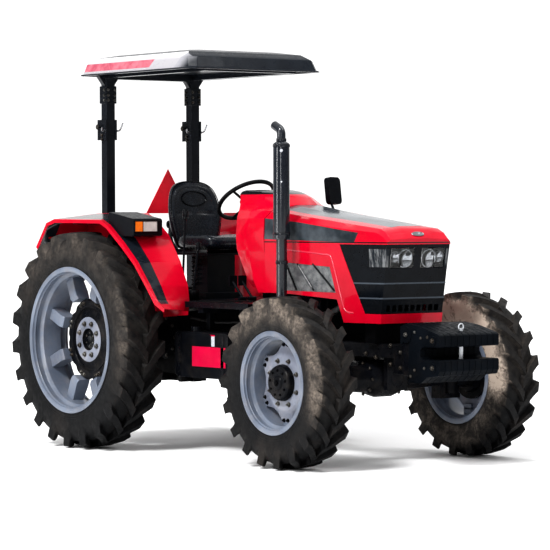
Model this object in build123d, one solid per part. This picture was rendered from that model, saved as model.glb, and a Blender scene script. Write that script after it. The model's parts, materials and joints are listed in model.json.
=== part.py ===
"""Four-wheel-drive farm tractor with a two-post folding roll-over frame and a sun canopy.

Units are millimetres. +Z is up, the nose points along -Y and +X is the tractor's left.
The origin is on the ground at the middle of the tractor's overall box.
Heights are above the ground. Places along the length are measured back from the front
axle by fy() or from the rear axle by ry(), so that they follow the wheelbase.
"""

from build123d import *
from math import asin, atan2, cos, degrees, pi, radians, sin, sqrt, tan
import os

# ---------------------------------------------------------------- driving dimensions
WHEELBASE = 2180
FRONT_OVERHANG = 880            # front axle to the face of the front weights
REAR_OVERHANG = 840             # rear axle to the back of the lower link eyes
FRONT_TRACK = 1540
REAR_TRACK = 1750

REAR_TYRE_RADIUS = 755          # to the tips of the lugs
REAR_TYRE_WIDTH = 316
REAR_RIM_RADIUS = 483           # bead seat
REAR_RIM_WIDTH = 290            # between the flanges

FRONT_TYRE_RADIUS = 553
FRONT_TYRE_WIDTH = 284
FRONT_RIM_RADIUS = 306
FRONT_RIM_WIDTH = 250
FLANGE = 28                     # height of a rim's flange above its bead seat

REAR_LUGS = 22                  # in each of a tyre's two rows
FRONT_LUGS = 19
REAR_LUG_HEIGHT = 42
FRONT_LUG_HEIGHT = 34

RUN = 0.3                       # gap of a running fit
CLEAR = 6                       # gap between moving pieces that don't guide each other
WALL = 5                        # pressed steel and moulded covers

LENGTH = FRONT_OVERHANG + WHEELBASE + REAR_OVERHANG
REAR_AXLE_Y = LENGTH / 2 - REAR_OVERHANG
FRONT_AXLE_Y = REAR_AXLE_Y - WHEELBASE


def fy(distance):
    """Y of a place that is this far behind the front axle."""
    return FRONT_AXLE_Y + distance


def ry(distance):
    """Y of a place that is this far behind the rear axle."""
    return REAR_AXLE_Y + distance


# ---------------------------------------------------------------- helpers
def block(x, y, z):
    """A box from its (low, high) along each axis."""
    size = (x[1] - x[0], y[1] - y[0], z[1] - z[0])
    return Pos(x[0], y[0], z[0]) * Box(*size, align=(Align.MIN, Align.MIN, Align.MIN))


def rod(start, end, radius):
    """A round bar between two points."""
    a = Vector(*start)
    b = Vector(*end)
    return Solid.make_cylinder(radius, (b - a).length, Plane(origin=a, z_dir=b - a))


def cone(start, end, radius_start, radius_end):
    """A taper between two points."""
    a = Vector(*start)
    b = Vector(*end)
    plane = Plane(origin=a, z_dir=b - a)
    return Solid.make_cone(radius_start, radius_end, (b - a).length, plane)


def ring(start, end, radius, hole):
    """A tube between two points."""
    return without(rod(start, end, radius), rod(start, end, hole))


def outline(points):
    """A closed wire through points in space."""
    return Wire.make_polygon([Vector(*p) for p in points], close=True)


def along_x(points, x):
    """A (y, z) outline drawn out from x[0] to x[1]."""
    face = Face(outline([(x[0], y, z) for y, z in points]))
    return extrude(face, amount=x[1] - x[0], dir=(1, 0, 0))


def along_y(points, y):
    """An (x, z) outline drawn out from y[0] to y[1]."""
    face = Face(outline([(x, y[0], z) for x, z in points]))
    return extrude(face, amount=y[1] - y[0], dir=(0, 1, 0))


def along_z(points, z):
    """An (x, y) outline drawn out from z[0] to z[1]."""
    face = Face(outline([(x, y, z[0]) for x, y in points]))
    return extrude(face, amount=z[1] - z[0], dir=(0, 0, 1))


def turned(points):
    """An (x, radius) outline turned about the X axis."""
    return revolve(Face(outline([(x, r, 0) for x, r in points])), axis=Axis.X)


def lofted(sections):
    """A solid with straight sides through closed outlines with as many corners each."""
    return Solid.make_loft([outline(s) for s in sections], ruled=True)


def bent_bar(points, radius, bends):
    """A round bar along a path with rounded corners."""
    path = FilletPolyline(*points, radius=bends)
    direction = Vector(*points[1]) - Vector(*points[0])
    return sweep(Plane(origin=points[0], z_dir=direction) * Circle(radius), path=path)


def right(shape):
    """The same piece on the tractor's right."""
    return mirror(shape, about=Plane.YZ)


def both(shape):
    """The piece and its mirror image."""
    return [shape, right(shape)]


def fused(shapes):
    """All the shapes as one."""
    return Part() + [solid for shape in shapes for solid in shape.solids()]


def without(shape, *tools):
    """The shape less every tool."""
    return fused([shape]) - [solid for tool in tools for solid in tool.solids()]


def common(shape, tool):
    """What the shape and the tool share."""
    return Part() + (fused([shape]) & fused([tool])).solids()


NODES = {}


def node(name, *shapes):
    """Registers a node that is written to its own file."""
    NODES[name] = [solid for shape in shapes for solid in shape.solids()]


def pair(name, shape):
    """Registers a piece of the tractor's left and its mirror image of the right."""
    node(name + "_left", shape)
    node(name + "_right", right(shape))


# ---------------------------------------------------------------- wheels
def tyre(radius, width, rim_radius, rim_width, lugs, lug_height):
    """A farm tyre about the X axis: a faceted carcass under two rows of chevron lugs."""
    half = width / 2
    carcass = radius - lug_height
    depth = carcass - rim_radius
    bead = rim_width / 2 - RUN
    side = [
        (bead, rim_radius),
        (bead, rim_radius + FLANGE + 3),
        (half, rim_radius + 0.46 * depth),
        (half * 0.80, carcass - 0.08 * depth),
    ]
    section = side + [(-x, r) for x, r in reversed(side)]
    facets = 2 * (lugs // 2)
    # the facets' corners stand out so that their middles lie on the true radius
    grow = 1 / cos(pi / facets)
    halves = []
    for first in (0, facets // 2):
        rings = []
        for i in range(first, first + facets // 2 + 1):
            angle = 2 * pi * (i + 0.5) / facets
            rings.append([
                (x, r * grow * cos(angle), r * grow * sin(angle)) for x, r in section
            ])
        halves.append(lofted(rings))
    seat = rod((-half, 0, 0), (half, 0, 0), rim_radius + RUN)
    carcass_ring = without(fused(halves), seat)
    bars = []
    for shift, row in ((0, 1), (0.5, -1)):
        bar = tread_bar(radius, half, carcass, lug_height, 360 / lugs)
        if row < 0:
            bar = right(bar)
        bars += [bar.rotate(Axis.X, (i + shift) * 360 / lugs) for i in range(lugs)]
    return fused([carcass_ring] + bars)


def tread_bar(radius, half, carcass, height, pitch):
    """One lug at the top of the tyre, from the middle of the tread back to its shoulder."""
    step = radius * radians(pitch)
    nose_x = -0.06 * half
    foot = carcass - 2.0 * height
    section = [                     # behind the lug's nose, radius
        (-0.21 * step, foot), (0.21 * step, foot),
        (0.13 * step, radius - 1), (-0.13 * step, radius - 1),
    ]
    trail = 0.80 * step
    drop = trail ** 2 / (2 * radius) + 0.3 * height
    face = Face(outline([(nose_x, y, z) for y, z in section]))
    run = Vector(half - nose_x, trail, -drop)
    return extrude(face, amount=run.length, dir=run.normalized())


def rim(radius, width, well_depth, wall):
    """A rolled rim about the X axis, with a well between the bead seats."""
    half = width / 2
    outer = [
        (half + wall, radius + FLANGE),
        (half, radius + FLANGE),
        (half, radius),
        (half * 0.62, radius),
        (half * 0.45, radius - well_depth),
    ]
    inner = [
        (half * 0.45 - wall / 2, radius - well_depth - wall),
        (half * 0.62 - wall / 2, radius - wall),
        (half + wall, radius - wall),
    ]
    top = [(-x, r) for x, r in outer] + [(x, r) for x, r in reversed(outer)]
    under = [(x, r) for x, r in reversed(inner)] + [(-x, r) for x, r in inner]
    return turned(top + under)


def round_bars(count, circle, radius, x, start=0):
    """Round bars along X on a circle of this radius about the X axis."""
    bars = []
    for i in range(count):
        angle = radians(start + i * 360 / count)
        y = circle * cos(angle)
        z = circle * sin(angle)
        bars.append(rod((x[0], y, z), (x[1], y, z), radius))
    return bars


REAR_WELL = 26
REAR_RIM_WALL = 8
REAR_DISC_X = -30               # outer face of the rear centre from the tyre's middle plane
REAR_DISC = 28                  # thickness of the centre's edge
REAR_HUB_X = REAR_DISC_X - 54   # seat of the bolt ring
REAR_CENTRE_RADIUS = 285
REAR_BRACKETS = 8
BRACKET_WIDTH = 84
AXLE_FLANGE_X = REAR_TRACK / 2 - 130    # where the rear wheel meets the axle's flange

rear_rim = rim(REAR_RIM_RADIUS, REAR_RIM_WIDTH, REAR_WELL, REAR_RIM_WALL)
bracket_top = REAR_RIM_RADIUS - REAR_WELL - REAR_RIM_WALL + 2
# each welded bracket is a box inside the rim, with a tongue behind the centre's edge
bracket_outline = [             # from the tyre's middle plane, radius
    (REAR_DISC_X - 44, REAR_CENTRE_RADIUS - 45),
    (REAR_DISC_X - REAR_DISC, REAR_CENTRE_RADIUS - 45),
    (REAR_DISC_X - REAR_DISC, REAR_CENTRE_RADIUS + CLEAR),
    (REAR_DISC_X + 48, REAR_CENTRE_RADIUS + CLEAR),
    (REAR_DISC_X + 62, REAR_CENTRE_RADIUS + 34),
    (REAR_DISC_X + 62, bracket_top),
    (REAR_DISC_X - REAR_DISC, bracket_top),
    (REAR_DISC_X - 44, REAR_CENTRE_RADIUS + 60),
]
bracket = along_y(bracket_outline, (-BRACKET_WIDTH / 2, BRACKET_WIDTH / 2))
brackets = [
    bracket.rotate(Axis.X, (i + 0.5) * 360 / REAR_BRACKETS) for i in range(REAR_BRACKETS)
]
rear_rim = fused([rear_rim] + brackets)

flange_x = AXLE_FLANGE_X - REAR_TRACK / 2
rear_centre = turned([
    (flange_x, 0),
    (flange_x, 140),
    (REAR_HUB_X - REAR_DISC, 172),
    (REAR_DISC_X - REAR_DISC, 232),
    (REAR_DISC_X - REAR_DISC, REAR_CENTRE_RADIUS),
    (REAR_DISC_X, REAR_CENTRE_RADIUS),
    (REAR_DISC_X, 222),
    (REAR_HUB_X, 156),
    (REAR_HUB_X, 76),
    (REAR_DISC_X + 8, 72),
    (REAR_DISC_X + 14, 60),
    (REAR_DISC_X + 14, 0),
])
# the casting's edge is scalloped between the brackets
scallop = rod((REAR_DISC_X - 60, 0, REAR_CENTRE_RADIUS + 33),
              (REAR_DISC_X + 60, 0, REAR_CENTRE_RADIUS + 33), 48)
scallops = [scallop.rotate(Axis.X, i * 360 / REAR_BRACKETS) for i in range(REAR_BRACKETS)]
rear_centre = without(rear_centre, *scallops)

rear_tyre = tyre(REAR_TYRE_RADIUS, REAR_TYRE_WIDTH, REAR_RIM_RADIUS, REAR_RIM_WIDTH,
                 REAR_LUGS, REAR_LUG_HEIGHT)
REAR_WHEEL = Pos(REAR_TRACK / 2, REAR_AXLE_Y, REAR_TYRE_RADIUS)
pair("rear_tyre", REAR_WHEEL * rear_tyre)
pair("rear_rim", REAR_WHEEL * rear_rim)
pair("rear_centre", REAR_WHEEL * rear_centre)

FRONT_WELL = 24
FRONT_RIM_WALL = 8
FRONT_DISC_X = 32               # outer face of the front disc from the tyre's middle plane
FRONT_DISC = 10
FRONT_DISC_RADIUS = 226
FRONT_HUB_RADIUS = 116
FRONT_BRACKETS = 6
SPINDLE_RADIUS = 90

front_rim = rim(FRONT_RIM_RADIUS, FRONT_RIM_WIDTH, FRONT_WELL, FRONT_RIM_WALL)
well_radius = FRONT_RIM_RADIUS - FRONT_WELL - FRONT_RIM_WALL
front_disc = turned([
    (FRONT_DISC_X, FRONT_HUB_RADIUS),
    (FRONT_DISC_X, 176),
    (FRONT_DISC_X - 22, FRONT_DISC_RADIUS),
    (FRONT_DISC_X - 22 - FRONT_DISC, FRONT_DISC_RADIUS),
    (FRONT_DISC_X - FRONT_DISC, 172),
    (FRONT_DISC_X - FRONT_DISC, FRONT_HUB_RADIUS),
])
front_bracket = along_y(
    [
        (FRONT_DISC_X - 54, FRONT_DISC_RADIUS - 22), (FRONT_DISC_X - 12, FRONT_DISC_RADIUS - 22),
        (FRONT_DISC_X - 4, FRONT_DISC_RADIUS), (FRONT_DISC_X - 4, well_radius + 2),
        (FRONT_DISC_X - 54, well_radius + 2),
    ],
    (-37, 37),
)
front_brackets = [
    front_bracket.rotate(Axis.X, i * 360 / FRONT_BRACKETS) for i in range(FRONT_BRACKETS)
]
front_rim = fused([front_rim, front_disc] + front_brackets)

front_hub = turned([
    (FRONT_DISC_X - 62, 0),
    (FRONT_DISC_X - 62, 118),
    (FRONT_DISC_X - 34, 128),
    (FRONT_DISC_X - 34, 170),
    (FRONT_DISC_X - FRONT_DISC, 170),
    (FRONT_DISC_X - FRONT_DISC, FRONT_HUB_RADIUS),
    (FRONT_DISC_X + 34, FRONT_HUB_RADIUS - 3),
    (FRONT_DISC_X + 48, FRONT_HUB_RADIUS - 20),
    (FRONT_DISC_X + 48, 44),
    (FRONT_DISC_X + 58, 38),
    (FRONT_DISC_X + 58, 0),
])

front_tyre = tyre(FRONT_TYRE_RADIUS, FRONT_TYRE_WIDTH, FRONT_RIM_RADIUS, FRONT_RIM_WIDTH,
                  FRONT_LUGS, FRONT_LUG_HEIGHT)
FRONT_WHEEL = Pos(FRONT_TRACK / 2, FRONT_AXLE_Y, FRONT_TYRE_RADIUS)
pair("front_tyre", FRONT_WHEEL * front_tyre)
pair("front_rim", FRONT_WHEEL * front_rim)
pair("front_hub", FRONT_WHEEL * front_hub)

# ---------------------------------------------------------------- front axle and steering
KINGPIN_X = FRONT_TRACK / 2 - 172
AXLE_Z = FRONT_TYRE_RADIUS
FORK_GAP = 124                  # from the axle's middle to the inside of its fork
FORK_PLATE = 30
FORK_HALF = 44                  # half-width of the fork along the tractor
SUPPORT_HALF = 130              # from the axle's middle to each of the two hangers that carry it
HANGER = 40                     # thickness of a hanger
TRUNNION = 48

beam = turned([
    (-KINGPIN_X + 78, 0),
    (-KINGPIN_X + 78, 66),
    (-250, 84),
    (-150, 92),
    (-120, 105),
    (-60, 124),
    (60, 124),
    (120, 105),
    (150, 92),
    (250, 84),
    (KINGPIN_X - 78, 66),
    (KINGPIN_X - 78, 0),
])
beam = Pos(0, FRONT_AXLE_Y, AXLE_Z) * beam
pivot_end = SUPPORT_HALF + HANGER
trunnions = rod((0, fy(-pivot_end), AXLE_Z), (0, fy(pivot_end), AXLE_Z), TRUNNION)
fork_outline = [
    (KINGPIN_X - 128, FORK_GAP + FORK_PLATE),
    (KINGPIN_X + 46, FORK_GAP + FORK_PLATE),
    (KINGPIN_X + 46, FORK_GAP),
    (KINGPIN_X - 80, FORK_GAP),
    (KINGPIN_X - 80, -FORK_GAP),
    (KINGPIN_X + 46, -FORK_GAP),
    (KINGPIN_X + 46, -FORK_GAP - FORK_PLATE),
    (KINGPIN_X - 128, -FORK_GAP - FORK_PLATE),
]
fork = along_y([(x, AXLE_Z + z) for x, z in fork_outline], (fy(-FORK_HALF), fy(FORK_HALF)))
front_axle = fused([beam, trunnions, fork, right(fork)])
node("front_axle_beam", front_axle)

STEER_ANGLE = 38                # degrees, to each side
ARM_REACH = 212                 # the steering arm's eye behind the kingpin
ARM_IN = 22                     # and in from it
ARM_Z = AXLE_Z + 44
ARM_THICK = 24
barrel_half = FORK_GAP - RUN
knuckle = fused([
    rod((KINGPIN_X, FRONT_AXLE_Y, AXLE_Z - barrel_half),
        (KINGPIN_X, FRONT_AXLE_Y, AXLE_Z + barrel_half), 58),
    rod((KINGPIN_X, FRONT_AXLE_Y, AXLE_Z),
        (FRONT_TRACK / 2 + FRONT_DISC_X - 62 - RUN, FRONT_AXLE_Y, AXLE_Z), SPINDLE_RADIUS),
    along_z(
        [
            (KINGPIN_X - 16, FRONT_AXLE_Y),
            (KINGPIN_X + 34, FRONT_AXLE_Y),
            (KINGPIN_X - ARM_IN + 22, fy(ARM_REACH)),
            (KINGPIN_X - ARM_IN - 22, fy(ARM_REACH)),
        ],
        (ARM_Z, ARM_Z + ARM_THICK),
    ),
    rod((KINGPIN_X - ARM_IN, fy(ARM_REACH), ARM_Z),
        (KINGPIN_X - ARM_IN, fy(ARM_REACH), ARM_Z + ARM_THICK), 24),
])
pair("knuckle", knuckle)

# the double-ended steering cylinder lies behind the beam, on two clamps
CYLINDER_Y = fy(ARM_REACH)
CYLINDER_Z = ARM_Z + ARM_THICK + CLEAR + 18
CYLINDER_HALF = 215
ROD_RADIUS = 14
cylinder = ring((-CYLINDER_HALF, CYLINDER_Y, CYLINDER_Z), (CYLINDER_HALF, CYLINDER_Y, CYLINDER_Z),
                36, ROD_RADIUS + RUN)
clamp = block((120, 160), (fy(40), CYLINDER_Y - 20), (AXLE_Z + 60, CYLINDER_Z + 20))
bore = rod((-200, CYLINDER_Y, CYLINDER_Z), (200, CYLINDER_Y, CYLINDER_Z), ROD_RADIUS + RUN)
cylinder = without(fused([cylinder, clamp, right(clamp)]), front_axle, bore)
node("steering_cylinder", cylinder)

ROD_END = KINGPIN_X - ARM_IN
STROKE = ARM_REACH * sin(radians(STEER_ANGLE))
COLLAR = CYLINDER_HALF + STROKE + 2 * CLEAR     # inner end of the collars on the rod
steering_rod = fused([
    rod((-ROD_END, CYLINDER_Y, CYLINDER_Z), (ROD_END, CYLINDER_Y, CYLINDER_Z), ROD_RADIUS),
    rod((ROD_END, CYLINDER_Y, CYLINDER_Z - 18), (ROD_END, CYLINDER_Y, CYLINDER_Z + 18), 22),
    rod((-ROD_END, CYLINDER_Y, CYLINDER_Z - 18), (-ROD_END, CYLINDER_Y, CYLINDER_Z + 18), 22),
    rod((COLLAR, CYLINDER_Y, CYLINDER_Z), (COLLAR + 40, CYLINDER_Y, CYLINDER_Z), 20),
    rod((-COLLAR - 40, CYLINDER_Y, CYLINDER_Z), (-COLLAR, CYLINDER_Y, CYLINDER_Z), 20),
])
node("steering_rod", steering_rod)

# ---------------------------------------------------------------- engine and driveline
SUPPORT_BOTTOM = 700
SUPPORT_TOP = 790
hanger = along_x(
    [
        (fy(SUPPORT_HALF), SUPPORT_BOTTOM),
        (fy(SUPPORT_HALF), AXLE_Z - 75),
        (fy(SUPPORT_HALF + HANGER), AXLE_Z - 75),
        (fy(SUPPORT_HALF + HANGER), SUPPORT_BOTTOM),
    ],
    (-85, 85),
)
front_hanger = mirror(hanger, about=Plane.XZ.offset(-FRONT_AXLE_Y))
bolster = block((-165, 165), (fy(-330), fy(300)), (SUPPORT_BOTTOM, SUPPORT_TOP))
trunnion_bore = rod((0, fy(-400), AXLE_Z), (0, fy(400), AXLE_Z), TRUNNION)
support = without(fused([bolster, hanger, front_hanger]), trunnion_bore)
node("front_support", support)

ENGINE_HALF = 205
HOOD_BACK = 780
ENGINE_FRONT = 300
ENGINE_BACK = HOOD_BACK + 160
ENGINE_TOP = 1100               # the dash cowl stands on it
HINGE_Y = HOOD_BACK - 80        # the hood's hinge pins, behind the front axle
HINGE_Z = 1660
HINGE_X = 74
HINGE_PLATE = 12
HINGE_PIN = 5
hinge_post = along_x(
    [
        (fy(HINGE_Y - 8), HINGE_Z), (fy(HINGE_Y - 24), HINGE_Z - 60), (fy(HINGE_Y - 30), 1320),
        (fy(HINGE_Y + 20), 1320), (fy(HINGE_Y + 16), HINGE_Z - 60), (fy(HINGE_Y + 8), HINGE_Z),
    ],
    (HINGE_X, HINGE_X + HINGE_PLATE),
)
hinge_post = fused([
    hinge_post,
    rod((HINGE_X, fy(HINGE_Y), HINGE_Z), (HINGE_X + HINGE_PLATE, fy(HINGE_Y), HINGE_Z), 8),
    rod((HINGE_X, fy(HINGE_Y), HINGE_Z), (HINGE_X + 2 * HINGE_PLATE + 4, fy(HINGE_Y), HINGE_Z),
        HINGE_PIN),
])
engine = fused([
    hinge_post,
    right(hinge_post),
    block((-165, 165), (fy(ENGINE_FRONT), fy(ENGINE_BACK)), (600, 740)),
    block((-ENGINE_HALF, ENGINE_HALF), (fy(ENGINE_FRONT), fy(ENGINE_BACK)), (740, ENGINE_TOP)),
    block((-150, 150), (fy(ENGINE_FRONT + 30), fy(HOOD_BACK - 50)), (ENGINE_TOP, 1330)),
])
node("engine_block", engine)

GEARBOX_HALF = 185
node("gearbox_housing", fused([
    along_z(
        [
            (-ENGINE_HALF, fy(ENGINE_BACK)), (ENGINE_HALF, fy(ENGINE_BACK)),
            (GEARBOX_HALF, fy(ENGINE_BACK + 160)), (GEARBOX_HALF, ry(-280)),
            (-GEARBOX_HALF, ry(-280)), (-GEARBOX_HALF, fy(ENGINE_BACK + 160)),
        ],
        (575, 960),
    ),
    block((-90, 90), (fy(1250), fy(1480)), (470, 575)),
]))

TRUMPET_END = AXLE_FLANGE_X - RUN
trumpets = turned([
    (-TRUMPET_END, 0), (-TRUMPET_END, 128), (-TRUMPET_END + 34, 128), (-TRUMPET_END + 40, 92),
    (-230, 116), (-200, 160), (200, 160), (230, 116),
    (TRUMPET_END - 40, 92), (TRUMPET_END - 34, 128), (TRUMPET_END, 128), (TRUMPET_END, 0),
])
LIFT_TOP = 1110
LIFT_SHAFT_Y = ry(150)
LIFT_SHAFT_Z = 1040
rear_axle = fused([
    block((-200, 200), (ry(-280), ry(230)), (500, 960)),
    Pos(0, REAR_AXLE_Y, REAR_TYRE_RADIUS) * trumpets,
    block((-165, 165), (ry(-180), ry(200)), (960, LIFT_TOP)),
    rod((-205, LIFT_SHAFT_Y, LIFT_SHAFT_Z), (205, LIFT_SHAFT_Y, LIFT_SHAFT_Z), 70),
])

PTO_Z = 690
PTO_RADIUS = 17.46
rear_axle = without(
    fused([rear_axle, rod((0, ry(200), PTO_Z), (0, ry(260), PTO_Z), 62)]),
    rod((0, ry(210), PTO_Z), (0, ry(300), PTO_Z), PTO_RADIUS + RUN),
)
PTO_LENGTH = 76                 # of the coupling's seat
pto_end = ry(340)
node("pto_shaft", fused([
    rod((0, ry(210 + RUN), PTO_Z), (0, pto_end, PTO_Z), PTO_RADIUS - 2),
    rod((0, pto_end - PTO_LENGTH, PTO_Z), (0, pto_end, PTO_Z), PTO_RADIUS),
]))

SHAFT_Z = AXLE_Z - 30
SHAFT_BACK = fy(1250)
node("front_driveshaft", fused([
    rod((0, fy(pivot_end), SHAFT_Z), (0, SHAFT_BACK, SHAFT_Z), 30),
    rod((0, fy(pivot_end), SHAFT_Z), (0, fy(pivot_end + 70), SHAFT_Z), 42),
    rod((0, SHAFT_BACK - 70, SHAFT_Z), (0, SHAFT_BACK, SHAFT_Z), 42),
]))

RADIATOR_TOP = 1400
radiator = block((-205, 205), (fy(-190), fy(-90)), (SUPPORT_TOP, RADIATOR_TOP))

# ---------------------------------------------------------------- front weights
WEIGHTS = 10
WEIGHT_PITCH = 50
CARRIER_HALF = 240
carrier = fused([
    block((-165, 165), (fy(-520), fy(-330)), (600, SUPPORT_TOP)),
    block((-CARRIER_HALF, CARRIER_HALF), (fy(-580), fy(-520)), (600, 860)),
])
node("weight_carrier", carrier)

weight_outline = [                 # distance behind the front axle, height
    (-580, 560), (-580, 860), (-520, 860), (-520, 800), (-498, 800), (-498, 912),
    (-560, 934), (-700, 914), (-862, 874), (-FRONT_OVERHANG, 862), (-FRONT_OVERHANG, 800),
    (-870, 791), (-722, 791), (-694, 774), (-694, 727), (-722, 710), (-870, 710),
    (-FRONT_OVERHANG, 701), (-FRONT_OVERHANG, 640), (-862, 612), (-760, 600), (-700, 560),
]
weight = along_x([(fy(y), z) for y, z in weight_outline], (2, WEIGHT_PITCH - 2))
first = -WEIGHTS / 2 * WEIGHT_PITCH
weights = [Pos(first + i * WEIGHT_PITCH, 0, 0) * weight for i in range(WEIGHTS)]
# round bosses on the outer faces of the two end weights
bosses = [
    rod((-first - 4, fy(y), z), (-first + 6, fy(y), z), radius)
    for y, z, radius in ((-560, 862, 52), (-820, 832, 30), (-820, 660, 30))
]
weights[-1] = fused([weights[-1]] + bosses)
weights[0] = right(weights[-1])
node("front_weights", *weights)

# ---------------------------------------------------------------- hood
NOSE_FOOT = 923
RAKE = 0.1566                   # how far the nose leans out for each millimetre of height
# distance behind the front axle at the foot, forward lean, then half-widths and heights of
# the lower edge, the crease, the belt, the shoulder and the edge of the top, and the crown
HOOD_SECTIONS = [
    ("nose", -311, RAKE, (257, 923), (262, 1300), (266, 1432), (262, 1447), (240, 1462), 1470),
    ("brow", -262, RAKE, (261, 923), (267, 1308), (271, 1437), (268, 1480), (240, 1505), 1522),
    ("temple", -199, RAKE, (266, 923), (273, 1316), (277, 1438), (274, 1507), (241, 1531), 1549),
    ("lamps", 0, 0, (300, 923), (311, 1335), (315, 1440), (312, 1530), (262, 1564), 1588),
    ("middle", 450, 0, (326, 923), (345, 1350), (348, 1446), (345, 1575), (282, 1613), 1638),
    ("back", HOOD_BACK, 0, (350, 923), (365, 1358), (368, 1455), (362, 1600), (295, 1652), 1688),
]


def hood_solid(inset, back=0):
    """The hood's outer form, drawn in by inset, as far as back behind its rear edge."""
    sections = []
    for name, y, lean, low, crease, belt, shoulder, top, crown_z in HOOD_SECTIONS:
        half = [
            (low[0] - inset, low[1] - inset * 4),
            (crease[0] - inset, crease[1]),
            (belt[0] - inset, belt[1]),
            (shoulder[0] - inset, shoulder[1] - inset * 0.5),
            (top[0] - inset * 0.6, top[1] - inset),
            (90, crown_z - inset),
        ]
        points = half + [(-x, z) for x, z in reversed(half)]
        y += {"nose": inset, "brow": inset, "back": back}.get(name, 0)
        sections.append([(x, fy(y - lean * (z - NOSE_FOOT)), z) for x, z in points])
    return lofted(sections)


hood_outer = hood_solid(0)
hood = without(hood_outer, hood_solid(WALL, 1))

GRILLE = [(-500, 984), (-171, 984), (36, 1431), (-500, 1431)]
SIDE_CUT = [(12, NOSE_FOOT), (75, 1072), (560, 1100), (900, 1105), (900, 800), (12, 800)]
WINDOW = [(83, 1115), (135, 1283), (620, 1310), (620, 1121)]
mouth = along_x([(fy(y), z) for y, z in GRILLE], (-400, 400))
side_cut = along_x([(fy(y), z) for y, z in SIDE_CUT], (-400, 400))
window = along_x([(fy(y), z) for y, z in WINDOW], (200, 500))
hood = without(hood, mouth, side_cut, window, right(window))

ear_x = HINGE_X + HINGE_PLATE + RUN
hood_ear = along_x(
    [
        (fy(HINGE_Y - 8), HINGE_Z), (fy(HINGE_Y - 40), 1690), (fy(HINGE_Y + 40), 1710),
        (fy(HINGE_Y + 8), HINGE_Z),
    ],
    (ear_x, ear_x + HINGE_PLATE),
)
eye = rod((ear_x, fy(HINGE_Y), HINGE_Z), (ear_x + HINGE_PLATE, fy(HINGE_Y), HINGE_Z), 8)
pin_hole = rod((0, fy(HINGE_Y), HINGE_Z), (200, fy(HINGE_Y), HINGE_Z), HINGE_PIN + RUN)
hood_ear = without(fused([common(hood_ear, hood_solid(1)), eye]), pin_hole)
hood = fused([hood, hood_ear, right(hood_ear)])
node("hood_shell", hood)

# the grille is set back in the hood's mouth, with two ribs and a row of slots at its foot
GRILLE_SET = 3
GRILLE_WALL = 8
RIBS = (1176, 1080)
LAMP_X = (32, 224)
LAMP_Z = (1280, 1408)
grille = common(without(hood_solid(GRILLE_SET), hood_solid(GRILLE_SET + GRILLE_WALL)), mouth)
rib_shell = common(without(hood_solid(1), hood_solid(GRILLE_SET + 2)), mouth)
ribs = [
    common(rib_shell, block((-400, 400), (fy(-500), fy(100)), (z, z + 9))) for z in RIBS
]
lamp_hole = block(LAMP_X, (fy(-450), fy(-320)), LAMP_Z)
slots = [
    block((x - 17, x + 17), (fy(-400), fy(-290)), (1000, 1040)) for x in range(-200, 201, 50)
]
grille = without(fused([grille] + ribs), lamp_hole, right(lamp_hole), *slots)
node("grille", grille)
lamp = common(lamp_hole, hood_solid(GRILLE_SET + 3))
node("headlamps", lamp, right(lamp))

# the side windows' panels, each with three raked bars
BARS = [(298, 94), (451, 297), (563, 466)]      # top and foot, behind the front axle
panel = common(without(hood_solid(3), hood_solid(3 + WALL)), window)
bar_shell = common(without(hood_solid(1), hood_solid(4)), window)
bars = [
    common(bar_shell, along_x(
        [(fy(top - 7), 1315), (fy(top + 7), 1315), (fy(foot + 7), 1110), (fy(foot - 7), 1110)],
        (200, 500),
    ))
    for top, foot in BARS
]
louvres = fused([panel] + bars)
node("hood_louvres", louvres, right(louvres))

# the closed hood rests on two rubber buffers on the radiator
buffer = common(
    block((140, 170), (fy(-160), fy(-120)), (RADIATOR_TOP, 1700)), hood_solid(WALL + RUN)
)
node("radiator", fused([radiator, buffer, right(buffer)]))

# ---------------------------------------------------------------- operator's place
PLATFORM_Z = 1035               # top of the platform
PLATFORM_FRONT = 640
PLATFORM_HALF = 610
FENDER_IN = 556                 # inner wall of the fender
FENDER_OUT = 930
PLATFORM_BACK = -190            # from the rear axle
platform_side = fy(1384)
platform_outline = [
    (385, fy(PLATFORM_FRONT)), (PLATFORM_HALF, fy(PLATFORM_FRONT)),
    (PLATFORM_HALF, platform_side), (FENDER_IN, platform_side), (FENDER_IN, ry(PLATFORM_BACK)),
    (215, ry(PLATFORM_BACK)), (215, fy(ENGINE_BACK + 60)), (385, fy(ENGINE_BACK + 60)),
]
half_platform = along_z(platform_outline, (PLATFORM_Z - 8, PLATFORM_Z))
bridge = block((-215, 215), (fy(ENGINE_BACK + 60), ry(PLATFORM_BACK)), (PLATFORM_Z - 8, PLATFORM_Z))
rim_bar = block((PLATFORM_HALF - 8, PLATFORM_HALF), (fy(PLATFORM_FRONT), platform_side),
                (PLATFORM_Z - 40, PLATFORM_Z - 8))
cross = block((-PLATFORM_HALF + 20, PLATFORM_HALF - 20), (fy(1180), fy(1240)), (960, PLATFORM_Z - 8))
platform = fused([half_platform, right(half_platform), bridge, rim_bar, right(rim_bar), cross])

# fender: (distance behind the front axle, height) along its outer and its inner edge
FENDER_SHAPE = [
    ((1147, 998), (1392, 967)),
    ((1249, 1044), (1386, 1044)),
    ((1343, 1149), (1402, 1141)),
    ((1496, 1308), (1490, 1306)),
    ((1650, 1426), (1629, 1488)),
    ((1836, 1556), (1790, 1600)),
    ((1925, 1592), (1880, 1638)),
    ((2508, 1597), (2508, 1638)),
    ((2614, 1569), (2614, 1600)),
    ((2753, 1396), (2753, 1396)),
]


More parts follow.
